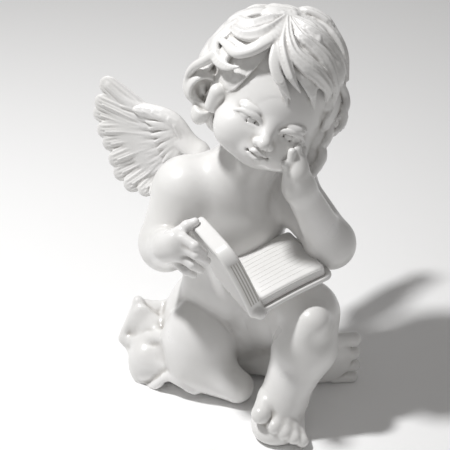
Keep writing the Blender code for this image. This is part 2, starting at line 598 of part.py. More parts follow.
def hair(clay):
    clay.add(HEAD.egg(CROWN + (2, 8, 4), (52, 49, 52)), 1)
    clay.add(HEAD.egg((0, 20, -12), (41, 31, 36)), 8)
    clay.add(HEAD.egg((43, 3, -10), (10, 18, 24)), 4)
    clay.add(HEAD.egg((40, 12, -34), (9, 12, 13)), 4)
    clay.add(egg((74.2, 8, 208.7), (8, 10, 11)), 3)
    clay.add(egg((60.1, -16, 192.7), (9, 11, 12)), 4)
    clay.add(HEAD.egg(on_crown(-62, 30, -22), (30, 30, 29)), 3)
    clay.add(HEAD.egg(on_crown(-98, 14, -22), (29, 29, 27)), 3)
    clay.add(HEAD.egg(on_crown(50, 10, -22), (26, 26, 25)), 3)
    for x, y in [(-81, 9), (61, 15), (62, 8), (64, 0)]:
        clay.add(HEAD.egg(on_crown(x, y, 2), (6.5, 6.5, 6.5)), 2)
    # the hollow side lock over the right ear
    clay.add(HEAD.egg(on_crown(-84, -27, 7), (15, 18, 17)), 3)
    clay.add(HEAD.egg(on_crown(-75, -45, 10), (9, 13, 14)), 3)
    clay.cut(egg((-13, -14, 239), (10, 11, 11)), 3)
    clay.add(limb((-4.7, -20, 244.4), (-8.8, -18, 233.9), 6, 5), 3)
    rim = [
        (-6, -14, 269.3),
        (-14, -12, 263.4),
        (-20.9, -8, 257.4),
        (-25, -6, 249.9),
        (-24.5, -6, 241),
        (-19.8, -8, 233.7),
        (-12.9, -12, 229.6),
    ]
    clay.add(ribbon(smooth_line(rim, 4), (4, 3.2, 2.4, 2.4, 2), (4, 3, 2.6, 2), (-0.7, -0.7, 0.2)), 1.5)
    for points, width, height, grooves in LOCKS:
        lock(clay, points, width, height, grooves)
    for longitude in range(30, 271, 30):
        behind = 2 * max(0.0, -math.cos(math.radians(longitude)))
        stations = [
            WHORL,
            (longitude, 79, 7 + behind / 2),
            (longitude + 4, 64, 7 + behind),
            (longitude - 3, 50, 5 + behind),
        ]
        lock(clay, stations, (3, 8, 8, 3), (3, 5, 5, 2), 2)
    # rows of curls round the sides and the back: latitude, drop and how many
    curls = ((62, 24, 8), (40, 24, 9), (18, 23, 10), (-4, 21, 10), (-26, 18, 9), (-44, 16, 8))
    for r, (latitude, drop, count) in enumerate(curls):
        for i in range(count):
            longitude = 82 + (180.0 + 4 * r) / (count - 1) * i + (5 if r % 2 else -5)
            lift = 5 + 2 * max(0.0, -math.cos(math.radians(longitude))) + (2 if r > 3 else 0)
            sway = 8 if (i + r) % 2 else -8
            stations = [
                (longitude, latitude + 8, lift - 4),
                (longitude + sway * 0.4, latitude - drop * 0.3, lift + 1),
                (longitude + sway, latitude - drop * 0.8, lift + 2.5),
                (longitude + sway * 0.7, latitude - drop * 1.2, lift + 3),
                (longitude - sway * 0.4, latitude - drop * 1.45, lift + 1),
            ]
            lock(clay, stations, (6, 11, 11, 8, 1.5), (3, 4.5, 4.5, 4, 1.5), 3)


def head_and_hair(step):
    clay = Clay((-34, -80, 160), (98, 80, 306), step)
    head(clay)
    hair(clay)
    return clay


def figure(step):
    clay = Clay((-112, -108, -6), (108, 128, 306), step)
    for form in (torso, legs, right_arm, left_arm, book, cloth):
        form(clay)
    wing(clay, 1)
    wing(clay, -1)
    clay.join(head_and_hair(step), 1.5)
    clay.cut_flat(0.0)
    return clay


def skin(clay):
    """The surface of the clay as points in metres and outward faces."""
    grid = openvdb.FloatGrid(FAR)
    grid.copyFromArray(clay.depth)
    points, triangles, quads = grid.convertToPolygons(isovalue=0.0, adaptivity=0.0)
    faces = [tuple(int(i) for i in face) for face in list(quads) + list(triangles)]
    return (points * clay.step + clay.low) * UNIT, faces


def keep_largest(bm):
    """Deletes all but the largest connected body."""
    unseen = set(bm.verts)
    best = []
    while unseen:
        stack = [next(iter(unseen))]
        unseen.discard(stack[0])
        body = []
        while stack:
            vert = stack.pop()
            body.append(vert)
            for edge in vert.link_edges:
                other = edge.other_vert(vert)
                if other in unseen:
                    unseen.discard(other)
                    stack.append(other)
        if len(body) > len(best):
            best = body
    kept = set(best)
    bmesh.ops.delete(bm, geom=[v for v in bm.verts if v not in kept], context="VERTS")


def cast(name, clay):
    """The clay's surface as one solid, thinned to about FACETS triangles."""
    points, faces = skin(clay)
    mesh = bpy.data.meshes.new(name)
    mesh.from_pydata([tuple(p) for p in points], [], faces)
    bm = bmesh.new()
    bm.from_mesh(mesh)
    keep_largest(bm)
    bmesh.ops.triangulate(bm, faces=bm.faces)
    bm.to_mesh(mesh)
    count = len(bm.faces)
    bm.free()
    statue = bpy.data.objects.new(name, mesh)
    bpy.context.scene.collection.objects.link(statue)
    thin = statue.modifiers.new("thin", "DECIMATE")
    thin.ratio = FACETS / count
    graph = bpy.context.evaluated_depsgraph_get()
    light = bpy.data.meshes.new_from_object(statue.evaluated_get(graph))
    statue.modifiers.clear()
    statue.data = light
    bpy.data.meshes.remove(mesh)
    light.name = name
    return statue


def flatten_foot(statue):
    """Presses everything below a hair's breadth onto the ground."""
    for vert in statue.data.vertices:
        if vert.co.z < 0.35 * UNIT:
            vert.co.z = 0.0


def stand_on_origin(statue):
    low = np.min([v.co for v in statue.data.vertices], axis=0)
    high = np.max([v.co for v in statue.data.vertices], axis=0)
    scale = STATUE_HEIGHT / (high[2] - low[2])
    shift = mathutils.Vector((-(low[0] + high[0]) / 2, -(low[1] + high[1]) / 2, -low[2]))
    for vert in statue.data.vertices:
        vert.co = (vert.co + shift) * scale
    statue.data.update()


def main():
    for old in list(bpy.data.objects):
        bpy.data.objects.remove(old)
    statue = cast("reading_cherub", figure(300.0 / CLAY_LAYERS))
    flatten_foot(statue)
    stand_on_origin(statue)
    resin = bpy.data.materials.new("white cast resin")
    resin.use_nodes = True
    shader = resin.node_tree.nodes["Principled BSDF"]
    shader.inputs["Base Color"].default_value = (0.86, 0.86, 0.85, 1.0)
    shader.inputs["Roughness"].default_value = 0.35
    statue.data.materials.clear()
    statue.data.materials.append(resin)


main()
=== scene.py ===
"""Reading cherub, cast white resin: the fine carving and the finish of the statue."""

import math

import bpy
import mathutils
import numpy as np
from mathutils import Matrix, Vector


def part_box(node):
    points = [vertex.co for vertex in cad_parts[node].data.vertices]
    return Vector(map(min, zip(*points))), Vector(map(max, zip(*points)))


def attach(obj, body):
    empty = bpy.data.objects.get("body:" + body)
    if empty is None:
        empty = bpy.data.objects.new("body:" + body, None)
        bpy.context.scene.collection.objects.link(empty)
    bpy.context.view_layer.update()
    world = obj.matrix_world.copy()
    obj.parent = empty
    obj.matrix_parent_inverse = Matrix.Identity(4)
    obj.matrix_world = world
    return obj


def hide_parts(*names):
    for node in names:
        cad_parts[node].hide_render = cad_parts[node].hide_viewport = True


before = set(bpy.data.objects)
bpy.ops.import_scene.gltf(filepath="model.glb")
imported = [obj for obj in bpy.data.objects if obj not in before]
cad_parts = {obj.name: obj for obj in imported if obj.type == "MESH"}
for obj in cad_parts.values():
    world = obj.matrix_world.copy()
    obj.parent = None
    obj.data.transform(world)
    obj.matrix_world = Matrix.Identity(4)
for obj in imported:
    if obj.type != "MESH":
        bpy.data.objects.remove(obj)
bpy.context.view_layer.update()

import openvdb

# driving sizes, in metres
STATUE_HEIGHT = 0.300
BOOK_HALF_WIDTH = 0.060
BOOK_LENGTH = 0.060
BOOK_COVER_THICKNESS = 0.0034
BOOK_LEAVES_THICKNESS = 0.008
BOOK_OPENING_DEG = 101.0

UNIT = STATUE_HEIGHT / 300.0
FAR = 40.0
UPRIGHT = np.eye(3)


def turn(yaw=0.0, pitch=0.0, roll=0.0):
    """Rows are the x, y and z axes after a roll about y, a pitch about x and a yaw about z."""
    a, b, c = (math.radians(v) for v in (yaw, pitch, roll))
    about_z = np.array([[math.cos(a), -math.sin(a), 0], [math.sin(a), math.cos(a), 0], [0, 0, 1]])
    about_x = np.array([[1, 0, 0], [0, math.cos(b), -math.sin(b)], [0, math.sin(b), math.cos(b)]])
    about_y = np.array([[math.cos(c), 0, math.sin(c)], [0, 1, 0], [-math.sin(c), 0, math.cos(c)]])
    return (about_z @ about_x @ about_y).T


def unit(v):
    v = np.asarray(v, float)
    return v / np.linalg.norm(v)


def soft_min(a, b, blend):
    if blend <= 0:
        return np.minimum(a, b)
    overlap = np.maximum(blend - np.abs(a - b), 0.0) / blend
    return np.minimum(a, b) - overlap * overlap * (blend * 0.25)


class Clay:
    """A block of clay as a grid of signed distances, negative inside."""

    def __init__(self, low, high, step):
        self.step = step
        self.low = np.floor(np.array(low, float) / step) * step
        count = np.ceil((np.array(high, float) - self.low) / step).astype(int) + 1
        self.depth = np.full(tuple(count), FAR, np.float32)

    def window(self, low, high, margin):
        first = np.floor((low - margin - self.low) / self.step).astype(int)
        last = np.ceil((high + margin - self.low) / self.step).astype(int) + 1
        first = np.clip(first, 0, self.depth.shape)
        last = np.clip(last, 0, self.depth.shape)
        here = tuple(slice(a, b) for a, b in zip(first, last))
        x, y, z = (
            (self.low[i] + self.step * np.arange(first[i], last[i])).astype(np.float32) for i in range(3)
        )
        return here, x[:, None, None], y[None, :, None], z[None, None, :]

    def add(self, form, blend=0.0):
        depth, low, high = form
        here, x, y, z = self.window(low, high, blend + 3)
        if self.depth[here].size:
            self.depth[here] = soft_min(self.depth[here], depth(x, y, z), blend)

    def cut(self, form, blend=0.0):
        depth, low, high = form
        here, x, y, z = self.window(low, high, blend + 3)
        if self.depth[here].size:
            self.depth[here] = -soft_min(-self.depth[here], depth(x, y, z), blend)

    def cut_flat(self, height):
        z = self.low[2] + self.step * np.arange(self.depth.shape[2])
        self.depth = np.maximum(self.depth, (height - z)[None, None, :].astype(np.float32))


def egg(centre, radii, axes=UPRIGHT):
    """An ellipsoid whose axes are the rows of axes."""
    centre = np.asarray(centre, float)
    radii = np.asarray(radii, float) * np.ones(3)
    reach = np.sqrt((axes.T ** 2) @ (radii ** 2))

    def depth(x, y, z):
        x, y, z = (v - np.float32(c) for v, c in zip((x, y, z), centre))
        size = 0.0
        slope = 0.0
        for axis, radius in zip(axes.tolist(), radii.tolist()):
            along = x * axis[0] + y * axis[1] + z * axis[2]
            size = size + (along / radius) ** 2
            slope = slope + (along / radius ** 2) ** 2
        size = np.sqrt(size)
        return size * (size - 1) / (np.sqrt(slope) + 1e-6)

    return depth, centre - reach, centre + reach


def limb(start, end, start_radius, end_radius):
    """A round limb that tapers from one radius to the other."""
    start, end = np.asarray(start, float), np.asarray(end, float)
    line = end - start
    most = max(start_radius, end_radius)

    def depth(x, y, z):
        x, y, z = (v - np.float32(c) for v, c in zip((x, y, z), start))
        a, b, c = line.tolist()
        t = np.clip((x * a + y * b + z * c) / float(line @ line), 0, 1)
        away = np.sqrt((x - t * a) ** 2 + (y - t * b) ** 2 + (z - t * c) ** 2)
        return away - (start_radius + t * (end_radius - start_radius))

    return depth, np.minimum(start, end) - most, np.maximum(start, end) + most


def smooth_line(points, steps):
    """A smooth curve through the points, with steps stations on each stretch."""
    p = np.asarray(points, float)
    p = np.vstack([2 * p[0] - p[1], p, 2 * p[-1] - p[-2]])
    out = []
    for i in range(1, len(p) - 2):
        for t in np.linspace(0, 1, steps, endpoint=False):
            a = p[i + 1] - p[i - 1]
            b = 2 * p[i - 1] - 5 * p[i] + 4 * p[i + 1] - p[i + 2]
            c = 3 * p[i] - p[i - 1] - 3 * p[i + 1] + p[i + 2]
            out.append(0.5 * (2 * p[i] + a * t + b * t ** 2 + c * t ** 3))
    out.append(p[-2])
    return np.array(out)


def along(values, count):
    """Spreads the values evenly over count stations."""
    values = np.atleast_1d(np.asarray(values, float))
    if len(values) == 1:
        return np.full(count, values[0])
    return np.interp(np.linspace(0, 1, count), np.linspace(0, 1, len(values)), values)


def ribbon(points, widths, heights, outs, grooves=0, groove_depth=0.0, both_sides=False):
    """A flat oval section swept along the points. outs point away from the surface it lies on."""
    points = np.asarray(points, float)
    n = len(points)
    widths, heights = along(widths, n), along(heights, n)
    outs = np.asarray(outs, float) * np.ones((n, 3))
    tangents = np.gradient(points, axis=0)
    tangents /= np.linalg.norm(tangents, axis=1)[:, None] + 1e-9
    sides = np.cross(tangents, outs)
    sides /= np.linalg.norm(sides, axis=1)[:, None] + 1e-9
    ups = np.cross(sides, tangents)
    most = max(widths.max(), heights.max())
    facts = np.hstack([points, sides, ups, widths[:, None], heights[:, None]]).astype(np.float32)

    def depth(x, y, z):
        best = np.full((x.shape[0], y.shape[1], z.shape[2]), FAR, np.float32)
        for a, b in zip(facts[:-1], facts[1:]):
            low, high = np.minimum(a[:3], b[:3]) - most - 4, np.maximum(a[:3], b[:3]) + most + 4
            near = tuple(
                slice(*np.searchsorted(v.ravel(), (lo, hi))) for v, lo, hi in zip((x, y, z), low, high)
            )
            px = x[near[0]] - a[0]
            py = y[:, near[1]] - a[1]
            pz = z[:, :, near[2]] - a[2]
            if not (px.size and py.size and pz.size):
                continue
            line = b[:3] - a[:3]
            t = np.clip((px * line[0] + py * line[1] + pz * line[2]) / (line @ line + 1e-6), 0, 1)
            px, py, pz = px - t * line[0], py - t * line[1], pz - t * line[2]
            d = b - a
            across = px * (a[3] + t * d[3]) + py * (a[4] + t * d[4]) + pz * (a[5] + t * d[5])
            above = px * (a[6] + t * d[6]) + py * (a[7] + t * d[7]) + pz * (a[8] + t * d[8])
            beyond = np.maximum(px * px + py * py + pz * pz - across * across - above * above, 0)
            w, h = a[9] + t * d[9], a[10] + t * d[10]
            size = np.sqrt((across / w) ** 2 + (above / h) ** 2 + beyond / (w * w)) + 1e-6
            slope = np.sqrt((across / w ** 2) ** 2 + (above / h ** 2) ** 2 + beyond / w ** 4) + 1e-6
            gap = size * (size - 1) / slope
            if grooves:
                wave = 0.5 - 0.5 * np.cos(math.pi * grooves * (across / w + 1))
                fade = np.clip(w / 3, 0, 1) * np.clip(1.2 - 1.6 * np.sqrt(beyond) / w, 0, 1)
                gap = gap + groove_depth * wave * (both_sides | (above > 0)) * fade
            best[near] = np.minimum(best[near], gap)
        return best

    return depth, points.min(0) - most, points.max(0) + most


def slab(centre, half, axes, rounding, bow=0.0, corner=0.0):
    """A board with rounded edges, bowed by bow across its first axis. corner rounds its two far corners."""
    centre, half = np.asarray(centre, float), np.asarray(half, float)
    reach = np.abs(axes.T) @ (half + (0, 0, abs(bow)))

    def depth(x, y, z):
        x, y, z = (v - np.float32(c) for v, c in zip((x, y, z), centre))
        u, v, w = (x * a[0] + y * a[1] + z * a[2] for a in axes.tolist())
        w = w - bow * (1 - (u / half[0]) ** 2)
        turned = np.where(u > 0, max(corner, rounding), rounding)
        across, along_it = np.abs(u) - (half[0] - turned), np.abs(v) - (half[1] - turned)
        rim = np.sqrt(np.maximum(across, 0) ** 2 + np.maximum(along_it, 0) ** 2)
        rim = rim + np.minimum(np.maximum(across, along_it), 0) - turned + rounding
        thick = np.abs(w) - (half[2] - rounding)
        outside = np.sqrt(np.maximum(rim, 0) ** 2 + np.maximum(thick, 0) ** 2)
        return outside + np.minimum(np.maximum(rim, thick), 0) - rounding

    return depth, centre - reach, centre + reach


class Place:
    """A tilted frame in which a part of the figure is laid out."""

    def __init__(self, origin, axes, scale=1.0):
        self.origin = np.asarray(origin, float)
        self.axes = axes
        self.scale = scale

    def at(self, point):
        return self.origin + self.scale * (np.asarray(point, float) @ self.axes)

    def way(self, direction):
        return np.asarray(direction, float) @ self.axes

    def egg(self, point, radii):
        return egg(self.at(point), np.asarray(radii, float) * self.scale, self.axes)

    def line(self, points, steps=3):
        return [self.at(q) for q in smooth_line(points, steps)]


BOOK_CORNER = np.array([24, -76, 103.0])
HEAD = Place((32, -8, 229), turn(yaw=0, pitch=-8, roll=26), 0.85)
CROWN = np.array([-8, 12, 15.0])
CROWN_RADII = np.array([49, 50, 49.0])
BODY_YAW = 19.0
BODY = turn(yaw=BODY_YAW)


def torso(clay):
    clay.add(egg((0, 20, 40), (47, 38, 44), BODY))
    clay.add(egg((3, 6, 82), (35, 31, 38), BODY), 12)
    clay.add(egg((6, 8, 128), (40, 31, 42), BODY), 14)
    clay.add(limb((-26, 6, 158), (42, 24, 156), 23, 23), 14)
    clay.add(limb((8, 8, 165), (27, 0, 200), 24, 21), 12)
    # shoulder blades and the furrow of the back
    for side in (-1, 1):
        blade = np.array([2, 26, 146]) + BODY[0] * 19 * side + BODY[1] * 6
        clay.add(egg(blade, (12, 9, 17), BODY), 8)
    furrow = [
        np.array([x, y, z]) + BODY[1] * d
        for x, y, z, d in ((4, 12, 150, 31), (3, 12, 110, 31), (1, 14, 84, 37))
    ]
    clay.cut(ribbon(furrow, 2.5, 3.0, BODY[1]), 7)


def legs(clay):
    # right leg folded under, its foot lying on its outer edge
    clay.add(limb((-14, 8, 38), (-20, -12, 37), 31, 28), 6)
    clay.add(egg((-18, -16, 37), (25, 25, 35), turn(yaw=-20, roll=-16)), 4)
    clay.add(limb((-22, -20, 22), (9, -37, 13), 20, 12.5), 9)
    clay.add(limb((-4, 6, 12), (56, -10, 17), 12, 15), 6)
    clay.add(egg((70, -13, 23), (26, 12, 23)), 6)
    toes = [
        ((83, -14, 38.7), (96.7, -12, 38.3), 5.6),
        ((83.5, -14, 26), (97.3, -12, 25.5), 4.9),
        ((84, -14, 14.9), (97.8, -12, 14.4), 4.7),
        ((82.9, -14, 4.6), (96.8, -12, 4.1), 4.5),
        ((80.2, -14, -4.8), (94.1, -12, -5.3), 4.3),
    ]
    for back, tip, radius in toes:
        clay.add(limb(back, tip, radius, radius), 2)
    # left leg drawn up, its foot flat
    clay.add(limb((24, 16, 48), (58, -38, 80), 31, 23), 10)
    clay.add(limb((58, -42, 80), (58, -54, 62), 22.5, 21.5), 8)
    clay.add(limb((57, -54, 61), (42, -68, 28), 21.5, 16.5), 8)
    clay.add(limb((60.9, -62, 87.3), (46.8, -62, 63.5), 13, 13), 6)
    clay.add(limb((44, -60, 20), (38, -72, 16), 17, 15), 8)
    clay.add(egg((38, -75, 9), (19, 20, 12), turn(yaw=-20)), 6)
    clay.add(egg((36, -77, 6), (15.5, 16, 8), turn(yaw=-25)), 4)
    toes = [
        ((30.7, -70, 28.9), (25.5, -85, 24.4), 6.6),
        ((37.7, -75, 22), (35.4, -90, 17.6), 4.9),
        ((42.5, -77, 18.2), (42.1, -92, 13.8), 4.7),
        ((47.1, -78, 14), (48.6, -93, 9.7), 4.5),
        ((51.5, -77, 10.1), (54.8, -92, 5.8), 4.2),
    ]
    for back, tip, radius in toes:
        clay.add(limb(back, tip, radius * 1.1, radius), 3)
        clay.add(egg(tip, (radius * 1.05, radius * 1.1, radius)), 1.5)


def right_arm(clay):
    clay.add(limb((-30, 4, 154), (-43, -8, 124), 22, 18), 10)
    clay.add(egg((-43, -12, 119), (18, 18, 18)), 8)
    clay.add(limb((-42, -14, 119), (-39.4, -46, 139.8), 16, 12), 4)
    clay.add(egg((-32.3, -52, 143.4), (9.5, 9, 13), turn(yaw=10, roll=-20)), 5)
    fingers = [
        ((-28.6, -55, 151.5), (-20.4, -61, 148.8), (-14.3, -59, 141.2), 3.3),
        ((-29.4, -56, 145), (-19.7, -62, 142.2), (-12.3, -59, 135.6), 3.4),
        ((-30.9, -56, 137.8), (-22.6, -61, 133.6), (-16.5, -58, 127.7), 3.2),
        ((-32.4, -54, 130.1), (-26.9, -58, 126.9), (-21.4, -56, 122.4), 2.9),
    ]
    for knuckle, middle, tip, radius in fingers:
        clay.add(limb(knuckle, middle, radius * 1.15, radius), 2)
        clay.add(limb(middle, tip, radius, radius * 0.85), 1)
    clay.add(limb((-32.3, -48, 150.6), (-26, -47, 156.3), 4.6, 4.2), 3)
    clay.add(limb((-26, -47, 156.3), (-20.5, -46, 158.9), 4.0, 3.2), 1)


def left_arm(clay):
    clay.add(limb((44, 18, 154), (74, -24, 132), 20, 16.5), 10)
    clay.add(egg((75, -28, 130), (15.5, 15.5, 15.5)), 6)
    clay.add(limb((74, -28, 130), (49.9, -46, 186.2), 15, 10.5), 9)
    clay.add(limb((49.9, -46, 186.2), (47.5, -48, 197.1), 10.5, 9), 6)
    clay.add(egg((48.2, -45, 203.1), (7, 8, 10), turn(roll=-8)), 5)
    fingers = [
        ((43.9, -49, 206.7), (44.4, -49, 214.1), 3.2),
        ((47.3, -47, 207.2), (48.5, -45, 215.1), 3.4),
        ((50.9, -43, 203.6), (52.2, -40, 211.1), 3.2),
        ((44, -50, 199.7), (39.9, -51, 206.2), 3.2),
    ]
    for knuckle, tip, radius in fingers:
        clay.add(limb(knuckle, tip, radius * 1.1, radius * 0.9), 1.2)


def book_half(side):
    """Middle, axes and bow of one cover. side 1 is the half that lies over the knee, -1 the raised one."""
    right, back, up = turn(yaw=25)
    tilt = (180.0 - BOOK_OPENING_DEG) / 2
    angle, bow = (tilt - 24, 1.0) if side > 0 else (tilt + 27, 0.8)
    a = math.radians(angle)
    across = side * math.cos(a) * right + math.sin(a) * up
    normal = -side * math.sin(a) * right + math.cos(a) * up
    middle = BOOK_CORNER + across * BOOK_HALF_WIDTH / UNIT / 2 + back * BOOK_LENGTH / UNIT / 2
    return middle, np.array([across, back, normal]), bow


def book(clay):
    """An open book: two bowed halves, each a cover with a block of leaves set in from its edges."""
    width, length = BOOK_HALF_WIDTH / UNIT, BOOK_LENGTH / UNIT
    cover, leaves = BOOK_COVER_THICKNESS / UNIT, BOOK_LEAVES_THICKNESS / UNIT
    middle, axes, bow = book_half(1)
    clay.add(slab(middle, (width / 2, length / 2, cover / 2), axes, cover / 3, bow, cover * 2), 0.6)
    middle = middle - axes[0] * cover / 3 + axes[2] * (cover + leaves) / 2
    inset = cover * 0.9
    block = (width / 2 - inset, length / 2 - inset, leaves / 2)
    clay.add(slab(middle, block, axes, cover / 2, bow, cover), 0.6)
    middle, axes, bow = book_half(-1)
    middle = middle + axes[2] * (leaves / 2 - 1.5 * cover)
    whole = (width / 2, length / 2, (cover + leaves) / 2)
    clay.add(slab(middle, whole, axes, cover * 0.6, bow, cover * 4), 0.6)
    spine_start = BOOK_CORNER + (0, 0, 1)
    clay.add(limb(spine_start, spine_start + axes[1] * length, cover * 1.3, cover * 1.3), 3)


def cloth(clay):
    """The cloth the child sits on, in folds that flare out on the right hip and round the back."""
    clay.add(egg((-46, 6, 14), (28, 28, 22)), 8)
    clay.add(egg((-56, 8, 32), (11, 9, 15)), 8)
    fold = smooth_line([(-26, 14, 34), (-46, 16, 42), (-66, 19, 52)], 3)
    clay.add(ribbon(fold, (13, 13, 11, 6, 2.5), (5, 4, 4, 3, 2), (-0.4, -0.5, 0.6)), 4)
    clay.add(egg((-60, -6, 14), (13, 14, 17)), 5)
    ridges = [
        ([(-66.2, 16, 53.9), (-61.6, 10, 47), (-55.4, 4, 39.1), (-49, -6, 37.8)], 2.6),
        ([(-66.2, 16, 53.9), (-71.8, 12, 41.1), (-77.5, 9, 24.6), (-67.5, 2, 14.6)], 3.2),
        ([(-77.5, 9, 24.6), (-66.3, 2, 26.7), (-56.8, -3, 32.9), (-45.1, -9, 38.9)], 3.6),
        ([(-56.8, -3, 32.9), (-64.6, -6, 21.2), (-68.7, -8, 7.7), (-63.3, -14, -2), (-56.3, -18, -2.8)],
         3.4),
        ([(-56.3, -18, -2.8), (-49.7, -24, 6.4), (-41.9, -28, 14.9), (-32.8, -33, 12.1), (-23.1, -35, 8.1)],
         3.4),
    ]
    for points, radius in ridges:
        clay.add(ribbon(smooth_line(points, 3), radius, radius, (0, -1, 0.5)), 4)
    clay.add(egg((-64.1, 10, 38.8), (9, 5, 15), turn(roll=10)), 4)
    clay.cut(egg((-61.4, -6, 49.6), (4, 9, 8)), 5)
    clay.cut(egg((-52.7, -26, 32.7), (5, 9, 9)), 6)
    clay.cut(egg((-39.6, -34, 6.4), (9, 10, 5)), 3)
    # pleats gathered under the child and spread over the ground behind it
    for i in range(12):
        a = math.radians(-12 + 17.5 * i)
        spread = 52 + 4 * (i % 2)
        high = (math.cos(a) * 36, 16 + math.sin(a) * 33, 30)
        low = (math.cos(a) * spread, 14 + math.sin(a) * (spread - 6), 3)
        clay.add(limb(high, low, 4, 7 + 2 * (i % 2)), 7)


WING_ROOT = np.array((-34.3, 39.1, 179.1))
WING_ALONG = unit(np.array((-88.8, 58.6, 221.3)) - WING_ROOT)
WING_FACE = unit((-0.331, -0.943, 0.009))
WING_DOWN = unit(np.cross(WING_FACE, WING_ALONG))
MIDDLE = np.array([4.0, 12.0, 0.0])


def wing(clay, side):
    """side 1 is the right wing; -1 mirrors it through the middle plane of the body."""
    def at(along_wing, down_wing, lift=0.0):
        p = WING_ROOT + WING_ALONG * along_wing + WING_DOWN * down_wing + WING_FACE * lift
        return p if side > 0 else p - 2 * ((p - MIDDLE) @ BODY[0]) * BODY[0]

    out = unit(at(0, 0, 1) - at(0, 0, 0))
    upper_edge = [(-17, -3), (-3, -7), (10, -11), (21, -9), (35, -1), (50, 3), (64, 2)]
    edge = smooth_line([at(*p) for p in upper_edge], 3)
    clay.add(ribbon(edge, (6.5, 4), (5, 3), out), 2)
    clay.add(limb(at(-17, -3), at(-2, 0), 9, 6), 5)
    axes = np.array([unit(at(1, 0) - at(0, 0)), unit(at(0, 1) - at(0, 0)), out])
    clay.add(egg(at(19, 22, 1.2), (34, 27, 2.6), axes), 2)
    # feathers, each a start, a middle, a tip and a half width; the lower tips curl forwards
    feathers = [
        ((26, 1), (47, 3), (63, 3), 9.4),
        ((23, 5), (44, 12), (59, 17), 8.4),
        ((21, 8), (41, 19), (55, 26), 8.4),
        ((18, 10), (34, 23), (45, 33), 8.4),
        ((13, 11), (26, 26), (36, 38), 8.4),
        ((9, 12), (18, 31), (25, 44), 8.4),
        ((4, 13), (10, 36), (16, 50), 8.4),
        ((-1, 14), (1, 37), (5, 51), 8.2),
        ((-5, 14), (-6, 36), (-5, 47), 7.6),
        ((-10, 15), (-13, 32), (-13, 42), 7.6),
    ]
    for i, (start, middle, tip, width) in enumerate(feathers):
        lift = 0.9 * (i % 2)
        curl = min(5.5, 1.3 * max(0, i - 2))
        line = smooth_line([at(*start, lift), at(*middle, lift), at(*tip, lift + curl)], 4)
        clay.add(ribbon(line, (width * 0.7, width, width, width * 0.9), 2.4, out, 5, 0.6, True), 0.8)
        clay.add(ribbon(line, (1.5, 1.2, 0.8), 3.1, out), 0.8)
    # long barbs that fan out from the root: where they start and end, how many, lift and half width
    barbs = [
        ([(18, -7), (-9, 10)], [(48, 8), (-9, 40)], 16, 2.2, 2.1),
        ([(15, -10), (-5, 2)], [(31, 0), (-7, 23)], 9, 4.0, 2.4),
    ]
    # a row of small coverts on the upper edge
    coverts = [
        ((29, -3), (37, 1)),
        ((23, -6), (32, -3)),
        ((17, -8), (26, -7)),
        ((12, -9), (20, -9)),
        ((6, -9), (14, -11)),
        ((1, -6), (8, -10)),
    ]
    for face in (1, -1):
        for start, tip, count, lift, wide in barbs:
            for i, t in enumerate(np.linspace(0, 1, count)):
                a = np.array(start[0]) + t * (np.array(start[1]) - start[0])
                b = np.array(tip[0]) + t * (np.array(tip[1]) - tip[0])
                m = (a + b) / 2 + (0, 1.5 if i % 2 else -1.5)
                ends = at(*a, face * lift), at(*m, face * (lift + 0.6)), at(*b, face * (lift - 0.4))
                line = smooth_line(ends, 4)
                clay.add(ribbon(line, (wide, wide * 1.2, wide, wide * 0.4), 1.5, out * face), 0.7)
        for a, b in coverts:
            line = smooth_line([at(*a, face * 2.5), at(*b, face * 3.2)], 4)
            clay.add(ribbon(line, (4.5, 4.6, 3), 3, out * face, 2, 0.6), 0.6)


